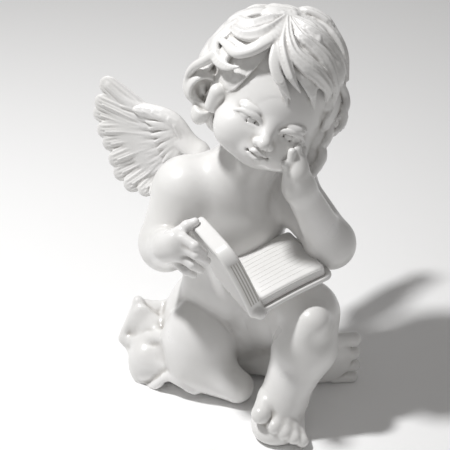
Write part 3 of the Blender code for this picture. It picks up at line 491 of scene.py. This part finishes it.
def head(clay):
    s = HEAD.scale
    front = HEAD.way((0, -1, 0))
    clay.add(HEAD.egg(CROWN, (47, 47, 46)))
    clay.add(HEAD.egg((0, 3, 4), (43, 46, 40)), 8 * s)
    clay.add(HEAD.egg((0, -10, -18), (39, 35, 28)), 12 * s)
    clay.add(HEAD.egg((0, -32, -35), (13, 9, 7.5)), 12 * s)
    for k in (-1, 1):
        clay.add(HEAD.egg((k * 21, -27, -23), (18, 16, 16)), 10 * s)
        clay.cut(HEAD.egg((k * 17, -56, -4.5), (13, 12.5, 8.5)), 7 * s)
        clay.add(HEAD.egg((k * 17, -33.0, -5.6), (11.8, 9.5, 7.2)), 0.8 * s)
        clay.add(HEAD.egg((k * 17, -33.4, 0.6), (12.2, 10, 5.2)), 0.8 * s)
        lid = HEAD.line([
            (k * 30, -34.5, -6.5),
            (k * 25, -39.6, -2.8),
            (k * 18, -43.0, -1.8),
            (k * 11, -43.2, -3.2),
            (k * 6.5, -42, -7.4),
        ])
        widths = (1.0 * s, 2.4 * s, 2.4 * s, 1.2 * s)
        clay.add(ribbon(lid, widths, 1.7 * s, HEAD.way((0, -1, 0.15))), 0.5 * s)
        lid = HEAD.line([
            (k * 28.5, -35.6, -7.4),
            (k * 22, -39.6, -10.4),
            (k * 15, -41.5, -11.4),
            (k * 8, -41.6, -8.6),
        ])
        widths = (0.8 * s, 1.5 * s, 1.5 * s, 0.8 * s)
        clay.add(ribbon(lid, widths, 1.2 * s, HEAD.way((0, -1, -0.3))), 1.2 * s)
        crease = HEAD.line([
            (k * 29, -36.5, 0.5),
            (k * 24, -41, 4.8),
            (k * 17, -44.5, 6.0),
            (k * 10, -45.5, 3.0),
        ])
        clay.cut(ribbon(crease, 0.8 * s, 1.2 * s, front), 1.5 * s)
        iris = []
        for a in np.linspace(0, 2 * math.pi, 17):
            x, z = 3.7 * math.cos(a) - k, 3.7 * math.sin(a) - 1.2
            bulge = 9.5 * math.sqrt(1 - (x / 11.8) ** 2 - (z / 7.2) ** 2)
            iris.append(HEAD.at((k * 17 + x, -33 - bulge, z - 5.6)))
        clay.cut(ribbon(iris, 0.6 * s, 0.8 * s, front), 0.4 * s)
    # nose and mouth
    clay.add(limb(HEAD.at((0, -40.5, -5)), HEAD.at((0, -49.5, -15)), 2.6 * s, 4.4 * s), 9 * s)
    clay.add(HEAD.egg((0, -52.5, -17), (5.4, 5.0, 4.6)), 3 * s)
    clay.add(HEAD.egg((0, -42, -28), (11, 6, 7)), 8 * s)
    for k in (-1, 1):
        clay.add(HEAD.egg((k * 5.4, -49.2, -18.5), (3.6, 3.8, 3.2)), 2 * s)
        clay.cut(HEAD.egg((k * 2.6, -51.0, -22.0), (1.4, 1.8, 1.4)), 0.8 * s)
        lip = HEAD.line([
            (0, -48.8, -26.3),
            (k * 3.0, -49.3, -25.8),
            (k * 6.0, -47.2, -27.4),
            (k * 8.0, -44.6, -28.4),
        ])
        clay.add(ribbon(lip, (1.5 * s, 1.8 * s, 0.8 * s), 1.8 * s, front), 1.2 * s)
        clay.cut(HEAD.egg((k * 8.8, -46.6, -28.6), (1.3, 1.2, 1.2)), 1.6 * s)
    lip = HEAD.line([
        (-6.2, -45.1, -29.4),
        (-3.2, -47.3, -31.2),
        (0, -48.3, -31.8),
        (3.2, -47.3, -31.2),
        (6.2, -45.1, -29.4),
    ])
    clay.add(ribbon(lip, (1.0 * s, 2.2 * s, 1.0 * s), 2.0 * s, front), 1.2 * s)
    lip = HEAD.line([
        (-8.4, -44.4, -28.2),
        (-4.6, -48.3, -28.7),
        (0, -51.0, -29.2),
        (4.6, -48.3, -28.7),
        (8.4, -44.4, -28.2),
    ])
    clay.cut(ribbon(lip, 0.7 * s, 1.3 * s, front), 0.9 * s)
    clay.cut(HEAD.egg((0, -49, -36.4), (6.5, 4, 2.0)), 3 * s)


def on_crown(longitude, latitude, lift):
    """A point above the crown. Longitude 0 is over the brow and 90 over the left ear."""
    a, b = math.radians(longitude), math.radians(latitude)
    way = np.array([math.sin(a) * math.cos(b), -math.cos(a) * math.cos(b), math.sin(b)])
    return CROWN + way * (CROWN_RADII + lift)


def lock(clay, points, width, height, grooves=2):
    """A lock of hair through stations on the crown, each a longitude, a latitude and a lift."""
    line = smooth_line([on_crown(*p) for p in points], 4)
    outs = [HEAD.way(unit((q - CROWN) / CROWN_RADII ** 2)) for q in line]
    world = [HEAD.at(q) for q in line]
    s = HEAD.scale
    clay.add(ribbon(world, np.array(width) * s, np.array(height) * s, outs, grooves, 1.0), 0.8)


# locks that fan out from the whorl: stations, half widths, half heights, grooves
LOCKS = [
    ([(-105, 78, 2), (2, 55, 3), (17, 39, 4), (28, 28, 4)], (5, 15, 15, 9), (3, 4, 4, 3), 3),
    ([(-114, 79, 2), (27, 60, 4), (50, 41, 5), (59, 23, 5)], (5, 15, 15, 7), (3, 4, 4, 3), 3),
    ([(-37, 37, 1), (-40, 19, 0), (-47, -2, -1), (-65, -24, -1)], (7, 11, 12, 8), (2.5, 2.5, 2.5, 2), 3),
    ([(-70, 75, 5), (-25, 50, 7), (-19, 38, 8), (-14, 28, 8), (-7, 20, 8), (2, 14, 8), (12, 7, 7)],
     (2.5, 4, 4.5, 4, 0.7), (3, 4, 4, 3.5, 1), 1),
    ([(-61, 75, 6), (-20, 49, 8), (-11, 38, 9), (-2, 29, 9), (6, 22, 9), (17, 15, 8)],
     (2.5, 4.5, 5, 4, 0.7), (3, 4.5, 4.5, 3.5, 1), 2),
    ([(-61, 76, 6), (-15, 54, 8), (-1, 42, 9), (15, 36, 10), (29, 32, 10), (44, 24, 9), (48, 14, 7)],
     (3, 6, 8, 7, 1.2), (3, 5.5, 6, 5, 2), 3),
    ([(-61, 77, 6), (-2, 60, 9), (20, 54, 9.5), (38, 46, 10), (48, 35, 10), (57, 23, 9), (62, 9, 8)],
     (3, 6, 8, 6, 0.8), (3, 5, 5, 4, 1.5), 3),
    ([(-62, 78, 6), (13, 73, 8), (51, 64, 9), (73, 49, 9), (86, 32, 9), (82, 17, 10)],
     (3, 7, 8, 6, 1.2), (3, 5, 5, 4, 1.5), 3),
    ([(-97, 80, 6), (154, 79, 9), (110, 69, 12), (96, 57, 13.4), (90, 44, 13), (85, 28, 12)],
     (3, 7, 8, 6, 1.5), (3, 5, 5, 4, 2), 2),
    ([(-146, 75, 7), (167, 80, 14), (115, 72, 16.4), (98, 59, 16)], (3, 6, 6, 2), (3, 4, 4, 2), 2),
    ([(-1, 18, 2), (4, 12, 5), (13, 1, 4)], (3.5, 3.5, 0.7), (3, 3, 1), 1),
    ([(20, 26, 4), (30, 18, 5), (40, 6, 4)], (5, 4.5, 0.7), (3, 3, 1), 1),
    ([(77, 26, 7), (82, 16, 12.7), (79, 8, 15.4), (77, -1, 13), (76, -6, 8)],
     (4, 5, 4.5, 0.8), (4, 4, 3, 1), 1),
    ([(80, 9, 8), (78, 4, 16), (76, -5, 19), (74, -14, 14)], (4, 5, 4, 0.8), (4, 4, 3, 1), 1),
    ([(78, -3, -0.7), (76, -8, 9.4), (73, -18, 16.3), (69, -30, 18)], (5, 8, 8, 4), (4, 5, 5, 3), 1),
    ([(71, -23, 11), (70, -26, 24), (66, -34, 31.4), (63, -40, 36)], (5, 7, 7, 3), (4, 5, 5, 3), 1),
    ([(-55, 71, 6), (-29, 48, 8), (-32, 35, 9), (-38, 25, 9), (-46, 18, 10), (-57, 18, 10), (-69, 17, 10)],
     (3, 5, 5, 4.5, 2.5), (3, 5, 5, 4.5, 2), 1),
    ([(-61, 72, 6), (-41, 48, 8), (-48, 36, 9), (-62, 31, 10), (-101, 28, 9)],
     (3, 6, 6.5, 5, 1.5), (3, 5, 5, 4, 2), 2),
    ([(-67, 73, 6), (-60, 57, 7), (-63, 43, 8), (-83, 38, 8), (-105, 36, 10.5)],
     (3, 6, 6.5, 5, 2), (3, 4.5, 4.5, 4, 2), 2),
    ([(-111, 75, 5), (-118, 60, 7.4), (-111, 50, 9.4), (-107, 42, 8.6), (-80, 40, 8)],
     (3, 5, 5, 4, 1.5), (3, 4, 4, 3, 2), 2),
    ([(-86, 24, 7), (-78, 14, 9), (-69, 8, 10), (-57, 4, 10), (-46, 5, 9), (-38, 10, 8)],
     (5, 5, 4.5, 3.5, 1), (4, 4, 4, 3, 1), 1),
    ([(-64, 24, 5), (-58, 13, 7), (-54, 5, 8), (-47, 4, 7)], (6, 7, 6, 2), (3, 4, 4, 3), 1),
]

# where the whorl is: longitude, latitude and lift
WHORL = (289, 73, 7)


def hair(clay):
    clay.add(HEAD.egg(CROWN + (2, 8, 4), (52, 49, 52)), 1)
    clay.add(HEAD.egg((0, 20, -12), (41, 31, 36)), 8)
    clay.add(HEAD.egg((43, 3, -10), (10, 18, 24)), 4)
    clay.add(HEAD.egg((40, 12, -34), (9, 12, 13)), 4)
    clay.add(egg((74.2, 8, 208.7), (8, 10, 11)), 3)
    clay.add(egg((60.1, -16, 192.7), (9, 11, 12)), 4)
    clay.add(HEAD.egg(on_crown(-62, 30, -22), (30, 30, 29)), 3)
    clay.add(HEAD.egg(on_crown(-98, 14, -22), (29, 29, 27)), 3)
    clay.add(HEAD.egg(on_crown(50, 10, -22), (26, 26, 25)), 3)
    for x, y in [(-81, 9), (61, 15), (62, 8), (64, 0)]:
        clay.add(HEAD.egg(on_crown(x, y, 2), (6.5, 6.5, 6.5)), 2)
    # the hollow side lock over the right ear
    clay.add(HEAD.egg(on_crown(-84, -27, 7), (15, 18, 17)), 3)
    clay.add(HEAD.egg(on_crown(-75, -45, 10), (9, 13, 14)), 3)
    clay.cut(egg((-13, -14, 239), (10, 11, 11)), 3)
    clay.add(limb((-4.7, -20, 244.4), (-8.8, -18, 233.9), 6, 5), 3)
    rim = [
        (-6, -14, 269.3),
        (-14, -12, 263.4),
        (-20.9, -8, 257.4),
        (-25, -6, 249.9),
        (-24.5, -6, 241),
        (-19.8, -8, 233.7),
        (-12.9, -12, 229.6),
    ]
    clay.add(ribbon(smooth_line(rim, 4), (4, 3.2, 2.4, 2.4, 2), (4, 3, 2.6, 2), (-0.7, -0.7, 0.2)), 1.5)
    for points, width, height, grooves in LOCKS:
        lock(clay, points, width, height, grooves)
    for longitude in range(30, 271, 30):
        behind = 2 * max(0.0, -math.cos(math.radians(longitude)))
        stations = [
            WHORL,
            (longitude, 79, 7 + behind / 2),
            (longitude + 4, 64, 7 + behind),
            (longitude - 3, 50, 5 + behind),
        ]
        lock(clay, stations, (3, 8, 8, 3), (3, 5, 5, 2), 2)
    # rows of curls round the sides and the back: latitude, drop and how many
    curls = ((62, 24, 8), (40, 24, 9), (18, 23, 10), (-4, 21, 10), (-26, 18, 9), (-44, 16, 8))
    for r, (latitude, drop, count) in enumerate(curls):
        for i in range(count):
            longitude = 82 + (180.0 + 4 * r) / (count - 1) * i + (5 if r % 2 else -5)
            lift = 5 + 2 * max(0.0, -math.cos(math.radians(longitude))) + (2 if r > 3 else 0)
            sway = 8 if (i + r) % 2 else -8
            stations = [
                (longitude, latitude + 8, lift - 4),
                (longitude + sway * 0.4, latitude - drop * 0.3, lift + 1),
                (longitude + sway, latitude - drop * 0.8, lift + 2.5),
                (longitude + sway * 0.7, latitude - drop * 1.2, lift + 3),
                (longitude - sway * 0.4, latitude - drop * 1.45, lift + 1),
            ]
            lock(clay, stations, (6, 11, 11, 8, 1.5), (3, 4.5, 4.5, 4, 1.5), 3)


# the step of each piece's clay in layout units, and the most triangles that it keeps
STEPS = {"body": 0.85, "head": 0.55, "wing_right": 0.6, "wing_left": 0.6, "book": 0.55}
MOST_TRIANGLES = {"body": 190000, "head": 190000, "wing_right": 90000, "wing_left": 90000, "book": 60000}

# painted shade in the creases: how deep a crease is, in metres, where it takes all the grey, and the rounds
# that smooth and soften it
PAINTED_SHADE_FULL_DEPTH = 0.00035
PAINTED_SHADE_SMOOTHING_PASSES = 6
PAINTED_SHADE_SOFTENING_PASSES = 3

# strokes carved on the book, in layout units: rows, and how far a stroke stands out
PAGE_ROWS = 10
PAGE_GAP = 4.6
LEAF_ROWS = 4
RELIEF = 0.36

# colours, light and view
LACQUER = "#E9E8E7"
LACQUER_CLOUDS = "#E2E1DF"
# painted shade: the warm grey laid into the creases where shade falls
PAINTED_SHADE_GREY = "#9A958E"
FLOOR_WHITE = "#FBFBFB"
SKY_WHITE = "#F6F4F2"
SKY_STRENGTH = 0.26
STATUE_MIDDLE = (0.0, 0.0, 0.15)
FLOOR_HALF_WIDTH = 4.0
SENSOR_WIDTH = 36.0
VIEW_ANGLE_DEG = 18.5
VIEW_SLOPE_DEG = 30.0
VIEW_TARGET = (0, 0, 0.130)


def body_clay(step):
    clay = Clay((-112, -108, -6), (108, 90, 235), step)
    for form in (torso, legs, right_arm, left_arm, cloth):
        form(clay)
    clay.cut_flat(0.0)
    return clay


def head_clay(step):
    clay = Clay((-34, -80, 160), (98, 80, 306), step)
    clay.add(limb((12, 6, 178), (27, 0, 200), 19, 19))
    head(clay)
    hair(clay)
    return clay


def wing_clay(step, side):
    low, high = ((-112, -10, 110), (30, 128, 262)) if side > 0 else ((-16, -10, 100), (112, 128, 262))
    clay = Clay(low, high, step)
    wing(clay, side)
    return clay


def book_clay(step):
    clay = Clay((-60, -90, 70), (100, 20, 190), step)
    book(clay)
    return clay


def skin(clay):
    """The surface of the clay as points in metres and outward quads and triangles."""
    grid = openvdb.FloatGrid(FAR)
    grid.copyFromArray(clay.depth)
    points, triangles, quads = grid.convertToPolygons(isovalue=0.0, adaptivity=0.0)
    places = (points * clay.step + clay.low) * UNIT
    return places, np.asarray(triangles, np.int64), np.asarray(quads, np.int64)


def largest_body(count, faces):
    """Marks the points of the largest connected body."""
    label = np.arange(count)
    edges = np.vstack([faces[:, pair] for pair in ((0, 1), (1, 2), (2, 0))])
    while True:
        least = label.copy()
        np.minimum.at(least, edges[:, 0], label[edges[:, 1]])
        np.minimum.at(least, edges[:, 1], label[edges[:, 0]])
        least = least[least]
        if np.array_equal(least, label):
            break
        label = least
    ids, sizes = np.unique(label, return_counts=True)
    return label == ids[sizes.argmax()]


def add_object(name, data):
    thing = bpy.data.objects.new(name, data)
    bpy.context.scene.collection.objects.link(thing)
    return thing


def bake(piece):
    """Gives the piece the mesh that its modifiers make and removes them."""
    plain = piece.data
    graph = bpy.context.evaluated_depsgraph_get()
    piece.data = bpy.data.meshes.new_from_object(piece.evaluated_get(graph))
    piece.modifiers.clear()
    bpy.data.meshes.remove(plain)


def carve(name, clay):
    """Meshes one piece of clay and thins it to its share of triangles."""
    points, triangles, quads = skin(clay)
    halves = np.vstack([quads[:, (0, 1, 2)], quads[:, (0, 2, 3)], triangles.reshape(-1, 3)])
    kept = largest_body(len(points), halves)
    halves = halves[kept[halves[:, 0]]]
    renumber = np.cumsum(kept) - 1
    mesh = bpy.data.meshes.new(name)
    mesh.vertices.add(int(kept.sum()))
    mesh.vertices.foreach_set("co", points[kept].astype(np.float32).ravel())
    corners = renumber[halves].ravel()
    mesh.loops.add(len(corners))
    mesh.loops.foreach_set("vertex_index", corners.astype(np.int32))
    mesh.polygons.add(len(halves))
    mesh.polygons.foreach_set("loop_start", np.arange(0, len(corners), 3, dtype=np.int32))
    mesh.update(calc_edges=True)
    mesh.validate()
    piece = add_object(name, mesh)
    if len(halves) > MOST_TRIANGLES[name]:
        thin = piece.modifiers.new("thin", "DECIMATE")
        thin.ratio = MOST_TRIANGLES[name] / len(halves)
        bake(piece)
    piece.data.name = name
    piece.data.shade_smooth()
    return piece


def coordinates(mesh):
    points = np.empty(len(mesh.vertices) * 3, np.float32)
    mesh.vertices.foreach_get("co", points)
    return points.reshape(-1, 3).astype(float)


def mark_painted_crease_shade(piece):
    """Stores where shade is painted: how far each point sinks below its smoothed neighbours, from -1 on a
    ridge to 1 in a crease.
    """
    mesh = piece.data
    points = coordinates(mesh)
    edges = np.empty(len(mesh.edges) * 2, np.int32)
    mesh.edges.foreach_get("vertices", edges)
    edges = edges.reshape(-1, 2)
    normals = np.array([v.vector for v in mesh.vertex_normals])
    degree = np.bincount(edges.ravel(), minlength=len(points)).astype(float)

    def spread(values):
        total = np.zeros_like(values)
        np.add.at(total, edges[:, 0], values[edges[:, 1]])
        np.add.at(total, edges[:, 1], values[edges[:, 0]])
        return total / (degree[:, None] if values.ndim > 1 else degree)

    smooth = points
    for _ in range(PAINTED_SHADE_SMOOTHING_PASSES):
        smooth = 0.4 * smooth + 0.6 * spread(smooth)
    painted_shade_mask = ((smooth - points) * normals).sum(1) / PAINTED_SHADE_FULL_DEPTH
    for _ in range(PAINTED_SHADE_SOFTENING_PASSES):
        painted_shade_mask = 0.5 * painted_shade_mask + 0.5 * spread(painted_shade_mask)
    # the mask of painted shade that the material darkens the creases by
    layer = mesh.attributes.new("painted_shade_mask", "FLOAT", "POINT")
    layer.data.foreach_set("value", np.clip(painted_shade_mask, -1, 1).astype(np.float32))


def set_on_frame(pieces):
    """Moves and scales the carving as one, so that it stands where the cast statue stands."""
    low = np.min([coordinates(p.data).min(0) for p in pieces], axis=0)
    high = np.max([coordinates(p.data).max(0) for p in pieces], axis=0)
    cad_low, cad_high = (np.array(corner, float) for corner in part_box("reading_cherub"))
    scale = (cad_high[2] - cad_low[2]) / (high[2] - low[2])
    shift = (cad_low + cad_high) / 2 - (low + high) / 2 * scale
    shift[2] = cad_low[2] - low[2] * scale
    for piece in pieces:
        moved = coordinates(piece.data) * scale + shift
        piece.data.vertices.foreach_set("co", moved.astype(np.float32).ravel())
        piece.data.update()
    return scale, shift


def linear(colour):
    """An sRGB hex colour as linear red, green, blue and alpha."""
    parts = [int(colour[i:i + 2], 16) / 255 for i in (1, 3, 5)]
    return [v / 12.92 if v <= 0.04045 else ((v + 0.055) / 1.055) ** 2.4 for v in parts] + [1.0]


def add_node(tree, kind, name, settings=(), sockets=(), links=()):
    """Adds a node, sets its properties and input sockets, and links inputs from other nodes' outputs."""
    made = tree.nodes.new(kind)
    made.name = name
    made.label = name
    for key, value in settings:
        setattr(made, key, value)
    for key, value in sockets:
        made.inputs[key].default_value = value
    for key, source, output in links:
        tree.links.new(source.outputs[output], made.inputs[key])
    return made


def white_cast_resin():
    """Poured polyester resin under a white gloss lacquer, with painted shade: a warm grey laid into the
    creases.
    """
    resin = bpy.data.materials.new("white_cast_resin")
    resin.use_nodes = True
    tree = resin.node_tree
    shader = tree.nodes["Principled BSDF"]
    place = add_node(tree, "ShaderNodeTexCoord", "place")
    # painted shade: the crease mask that darkens the creases
    painted_shade_mask = add_node(tree, "ShaderNodeAttribute", "painted_shade_mask", [("attribute_name", "painted_shade_mask")])
    # pooled lacquer, in clouds about 40 mm across
    clouds = add_node(tree, "ShaderNodeTexNoise", "clouds", (), [("Scale", 25.0), ("Detail", 3.0)],
                      [("Vector", place, "Object")])
    tint = add_node(tree, "ShaderNodeMapRange", "cloud strength", (),
                    [("From Min", 0.35), ("From Max", 0.65), ("To Min", 0.0), ("To Max", 1.0)],
                    [("Value", clouds, "Fac")])
    body = add_node(tree, "ShaderNodeMix", "lacquer colour", [("data_type", "RGBA")],
                    [("A", linear(LACQUER)), ("B", linear(LACQUER_CLOUDS))], [("Factor", tint, "Result")])
    # painted shade: creases darkened towards warm grey, up to three quarters of the way
    depth = add_node(tree, "ShaderNodeMapRange", "painted shade strength", (),
                     [("From Min", 0.05), ("From Max", 0.9), ("To Min", 0.0), ("To Max", 0.75)],
                     [("Value", painted_shade_mask, "Fac")])
    colour = add_node(tree, "ShaderNodeMix", "painted shade colour", [("data_type", "RGBA")],
                      [("B", linear(PAINTED_SHADE_GREY))], [("Factor", depth, "Result"), ("A", body, "Result")])
    tree.links.new(colour.outputs["Result"], shader.inputs["Base Color"])
    # the lacquer's orange peel, about 2.5 mm across
    peel = add_node(tree, "ShaderNodeTexNoise", "orange peel", (), [("Scale", 400.0), ("Detail", 2.0)],
                    [("Vector", place, "Object")])
    gloss = add_node(tree, "ShaderNodeMapRange", "gloss", (),
                     [("From Min", 0.3), ("From Max", 0.7), ("To Min", 0.26), ("To Max", 0.36)],
                     [("Value", clouds, "Fac")])
    tree.links.new(gloss.outputs["Result"], shader.inputs["Roughness"])
    bump = add_node(tree, "ShaderNodeBump", "lacquer skin", (), [("Strength", 0.06), ("Distance", 0.0004)],
                    [("Height", peel, "Fac")])
    tree.links.new(bump.outputs["Normal"], shader.inputs["Normal"])
    shader.inputs["IOR"].default_value = 1.5
    shader.inputs["Coat Weight"].default_value = 0.25
    shader.inputs["Coat Roughness"].default_value = 0.12
    return resin


def rows_tree(resin):
    """Geometry nodes that lay rows of shallow strokes one gap apart, some a little shorter."""
    tree = bpy.data.node_groups.new("rows of strokes", "GeometryNodeTree")
    for name, kind in (("Rows", "Int"), ("Gap", "Float"), ("Stroke", "Vector"), ("Shortest", "Float")):
        tree.interface.new_socket(name, in_out="INPUT", socket_type="NodeSocket" + kind)
    tree.interface.new_socket("Geometry", in_out="OUTPUT", socket_type="NodeSocketGeometry")
    given = add_node(tree, "NodeGroupInput", "given")
    gap = add_node(tree, "ShaderNodeCombineXYZ", "gap", (), (), [("Y", given, "Gap")])
    starts = add_node(tree, "GeometryNodeMeshLine", "row starts", [("mode", "OFFSET")], (),
                      [("Count", given, "Rows"), ("Offset", gap, "Vector")])
    stroke = add_node(tree, "GeometryNodeMeshCube", "stroke", (), [("Vertices X", 25)],
                      [("Size", given, "Stroke")])
    share = add_node(tree, "FunctionNodeRandomValue", "share of the row", [("data_type", "FLOAT")],
                     [(3, 1.0), ("Seed", 7)], [(2, given, "Shortest")])
    lengths = add_node(tree, "ShaderNodeCombineXYZ", "stroke scale", (), [("Y", 1.0), ("Z", 1.0)],
                       [("X", share, 1)])
    rows = add_node(
        tree, "GeometryNodeInstanceOnPoints", "rows", (), (),
        [("Points", starts, "Mesh"), ("Instance", stroke, "Mesh"), ("Scale", lengths, "Vector")])
    real = add_node(tree, "GeometryNodeRealizeInstances", "real", (), (), [("Geometry", rows, "Instances")])
    coated = add_node(tree, "GeometryNodeSetMaterial", "coated", (), [("Material", resin)],
                      [("Geometry", real, "Geometry")])
    add_node(tree, "NodeGroupOutput", "made", (), (), [("Geometry", coated, "Geometry")])
    return tree


def rows_of_strokes(name, tree, rows, gap, stroke, shortest, half, origin, axes, bow):
    """Rows laid on a bowed board. axes hold the ways of the stroke, of the rows and out of the surface."""
    piece = add_object(name, bpy.data.meshes.new(name))
    made = piece.modifiers.new("rows", "NODES")
    made.node_group = tree
    values = {"Rows": rows, "Gap": gap, "Stroke": stroke, "Shortest": shortest}
    for item in tree.interface.items_tree:
        if item.in_out == "INPUT":
            made[item.identifier] = values[item.name]
    bake(piece)
    along_it, across_it, out = coordinates(piece.data).T
    across_it = across_it - gap * (rows - 1) / 2
    arch = bow * (1 - (along_it / half) ** 2)
    points = origin + np.stack([along_it, across_it, out], 1) @ axes[:3] + arch[:, None] * axes[3]
    piece.data.vertices.foreach_set("co", (points * UNIT).astype(np.float32).ravel())
    piece.data.update()
    piece.data.name = name
    return piece


def book_rows(resin):
    """Ruled rows on the open page, and the leaves that show along the near edges."""
    tree = rows_tree(resin)
    width, length = BOOK_HALF_WIDTH / UNIT, BOOK_LENGTH / UNIT
    cover, leaves = BOOK_COVER_THICKNESS / UNIT, BOOK_LEAVES_THICKNESS / UNIT
    made = []
    middle, axes, bow = book_half(1)
    across, back, normal = axes
    block = middle - across * cover / 3 + normal * (cover + leaves) / 2
    inset = cover * 0.9
    stroke = (width * 0.74, 0.8, RELIEF)
    page = np.array([across, back, normal, normal])
    half = width / 2 - inset
    made.append(rows_of_strokes("page_rows", tree, PAGE_ROWS, PAGE_GAP, stroke, 0.78, half,
                                block + normal * leaves / 2, page, bow))
    edge = np.array([across, normal, -back, normal])
    stroke = (width * 0.82, 0.7, RELIEF)
    made.append(rows_of_strokes("right_leaves", tree, LEAF_ROWS, leaves / 5, stroke, 0.97, half,
                                block - back * (length / 2 - inset), edge, bow))
    middle, axes, bow = book_half(-1)
    across, back, normal = axes
    edge = np.array([across, normal, -back, normal])
    stroke = (width * 0.66, 0.8, RELIEF)
    block = middle + normal * (leaves / 2 - 1.2 * cover)
    made.append(rows_of_strokes("left_leaves", tree, LEAF_ROWS, leaves / 4, stroke, 0.97, width / 2,
                                block - back * length / 2, edge, bow))
    return made


def pale_floor():
    floor_material = bpy.data.materials.new("pale_floor")
    floor_material.use_nodes = True
    shader = floor_material.node_tree.nodes["Principled BSDF"]
    shader.inputs["Base Color"].default_value = linear(FLOOR_WHITE)
    shader.inputs["Roughness"].default_value = 0.9
    mesh = bpy.data.meshes.new("floor")
    half = FLOOR_HALF_WIDTH
    mesh.from_pydata([(-half, -half, 0), (half, -half, 0), (half, half, 0), (-half, half, 0)], [],
                     [(0, 1, 2, 3)])
    mesh.materials.append(floor_material)
    add_object("floor", mesh)


def aim(thing, target):
    way = mathutils.Vector(target) - thing.location
    thing.rotation_euler = way.to_track_quat("-Z", "Y").to_euler()


def softbox(name, location, size, power):
    light = bpy.data.lights.new(name, "AREA")
    light.shape = "DISK"
    light.size = size
    light.energy = power
    thing = add_object(name, light)
    thing.location = location
    aim(thing, STATUE_MIDDLE)


def studio():
    world = bpy.data.worlds.new("studio")
    bpy.context.scene.world = world
    world.use_nodes = True
    sky = world.node_tree.nodes["Background"]
    sky.inputs["Color"].default_value = linear(SKY_WHITE)
    sky.inputs["Strength"].default_value = SKY_STRENGTH
    softbox("key", (-0.55, -0.05, 1.2), size=0.12, power=14.0)
    softbox("fill", (0.9, -1.0, 0.6), size=0.9, power=0.4)
    bpy.context.scene.view_settings.view_transform = "Standard"


def camera(scale, shift):
    """Looks down on the statue from a metre away, with its place and distance fitted as the carving is."""
    view = bpy.data.cameras.new("camera")
    view.sensor_width = SENSOR_WIDTH
    view.lens = SENSOR_WIDTH / 2 / math.tan(math.radians(VIEW_ANGLE_DEG / 2))
    thing = add_object("camera", view)
    target = mathutils.Vector(VIEW_TARGET) * scale + mathutils.Vector(shift)
    slope = math.radians(VIEW_SLOPE_DEG)
    thing.location = target + mathutils.Vector((0, -math.cos(slope), math.sin(slope))) * scale
    aim(thing, target)
    bpy.context.scene.camera = thing


def build():
    clays = {
        "body": body_clay,
        "head": head_clay,
        "wing_right": lambda step: wing_clay(step, 1),
        "wing_left": lambda step: wing_clay(step, -1),
        "book": book_clay,
    }
    pieces = [carve(name, make(STEPS[name])) for name, make in clays.items()]
    resin = white_cast_resin()
    pieces.extend(book_rows(resin))
    scale, shift = set_on_frame(pieces)
    for piece in pieces:
        # painted shade laid into the creases of each piece
        mark_painted_crease_shade(piece)
        piece.data.materials.clear()
        piece.data.materials.append(resin)
        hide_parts("reading_cherub")
        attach(piece, "root")
    pale_floor()
    studio()
    camera(scale, shift)


build()
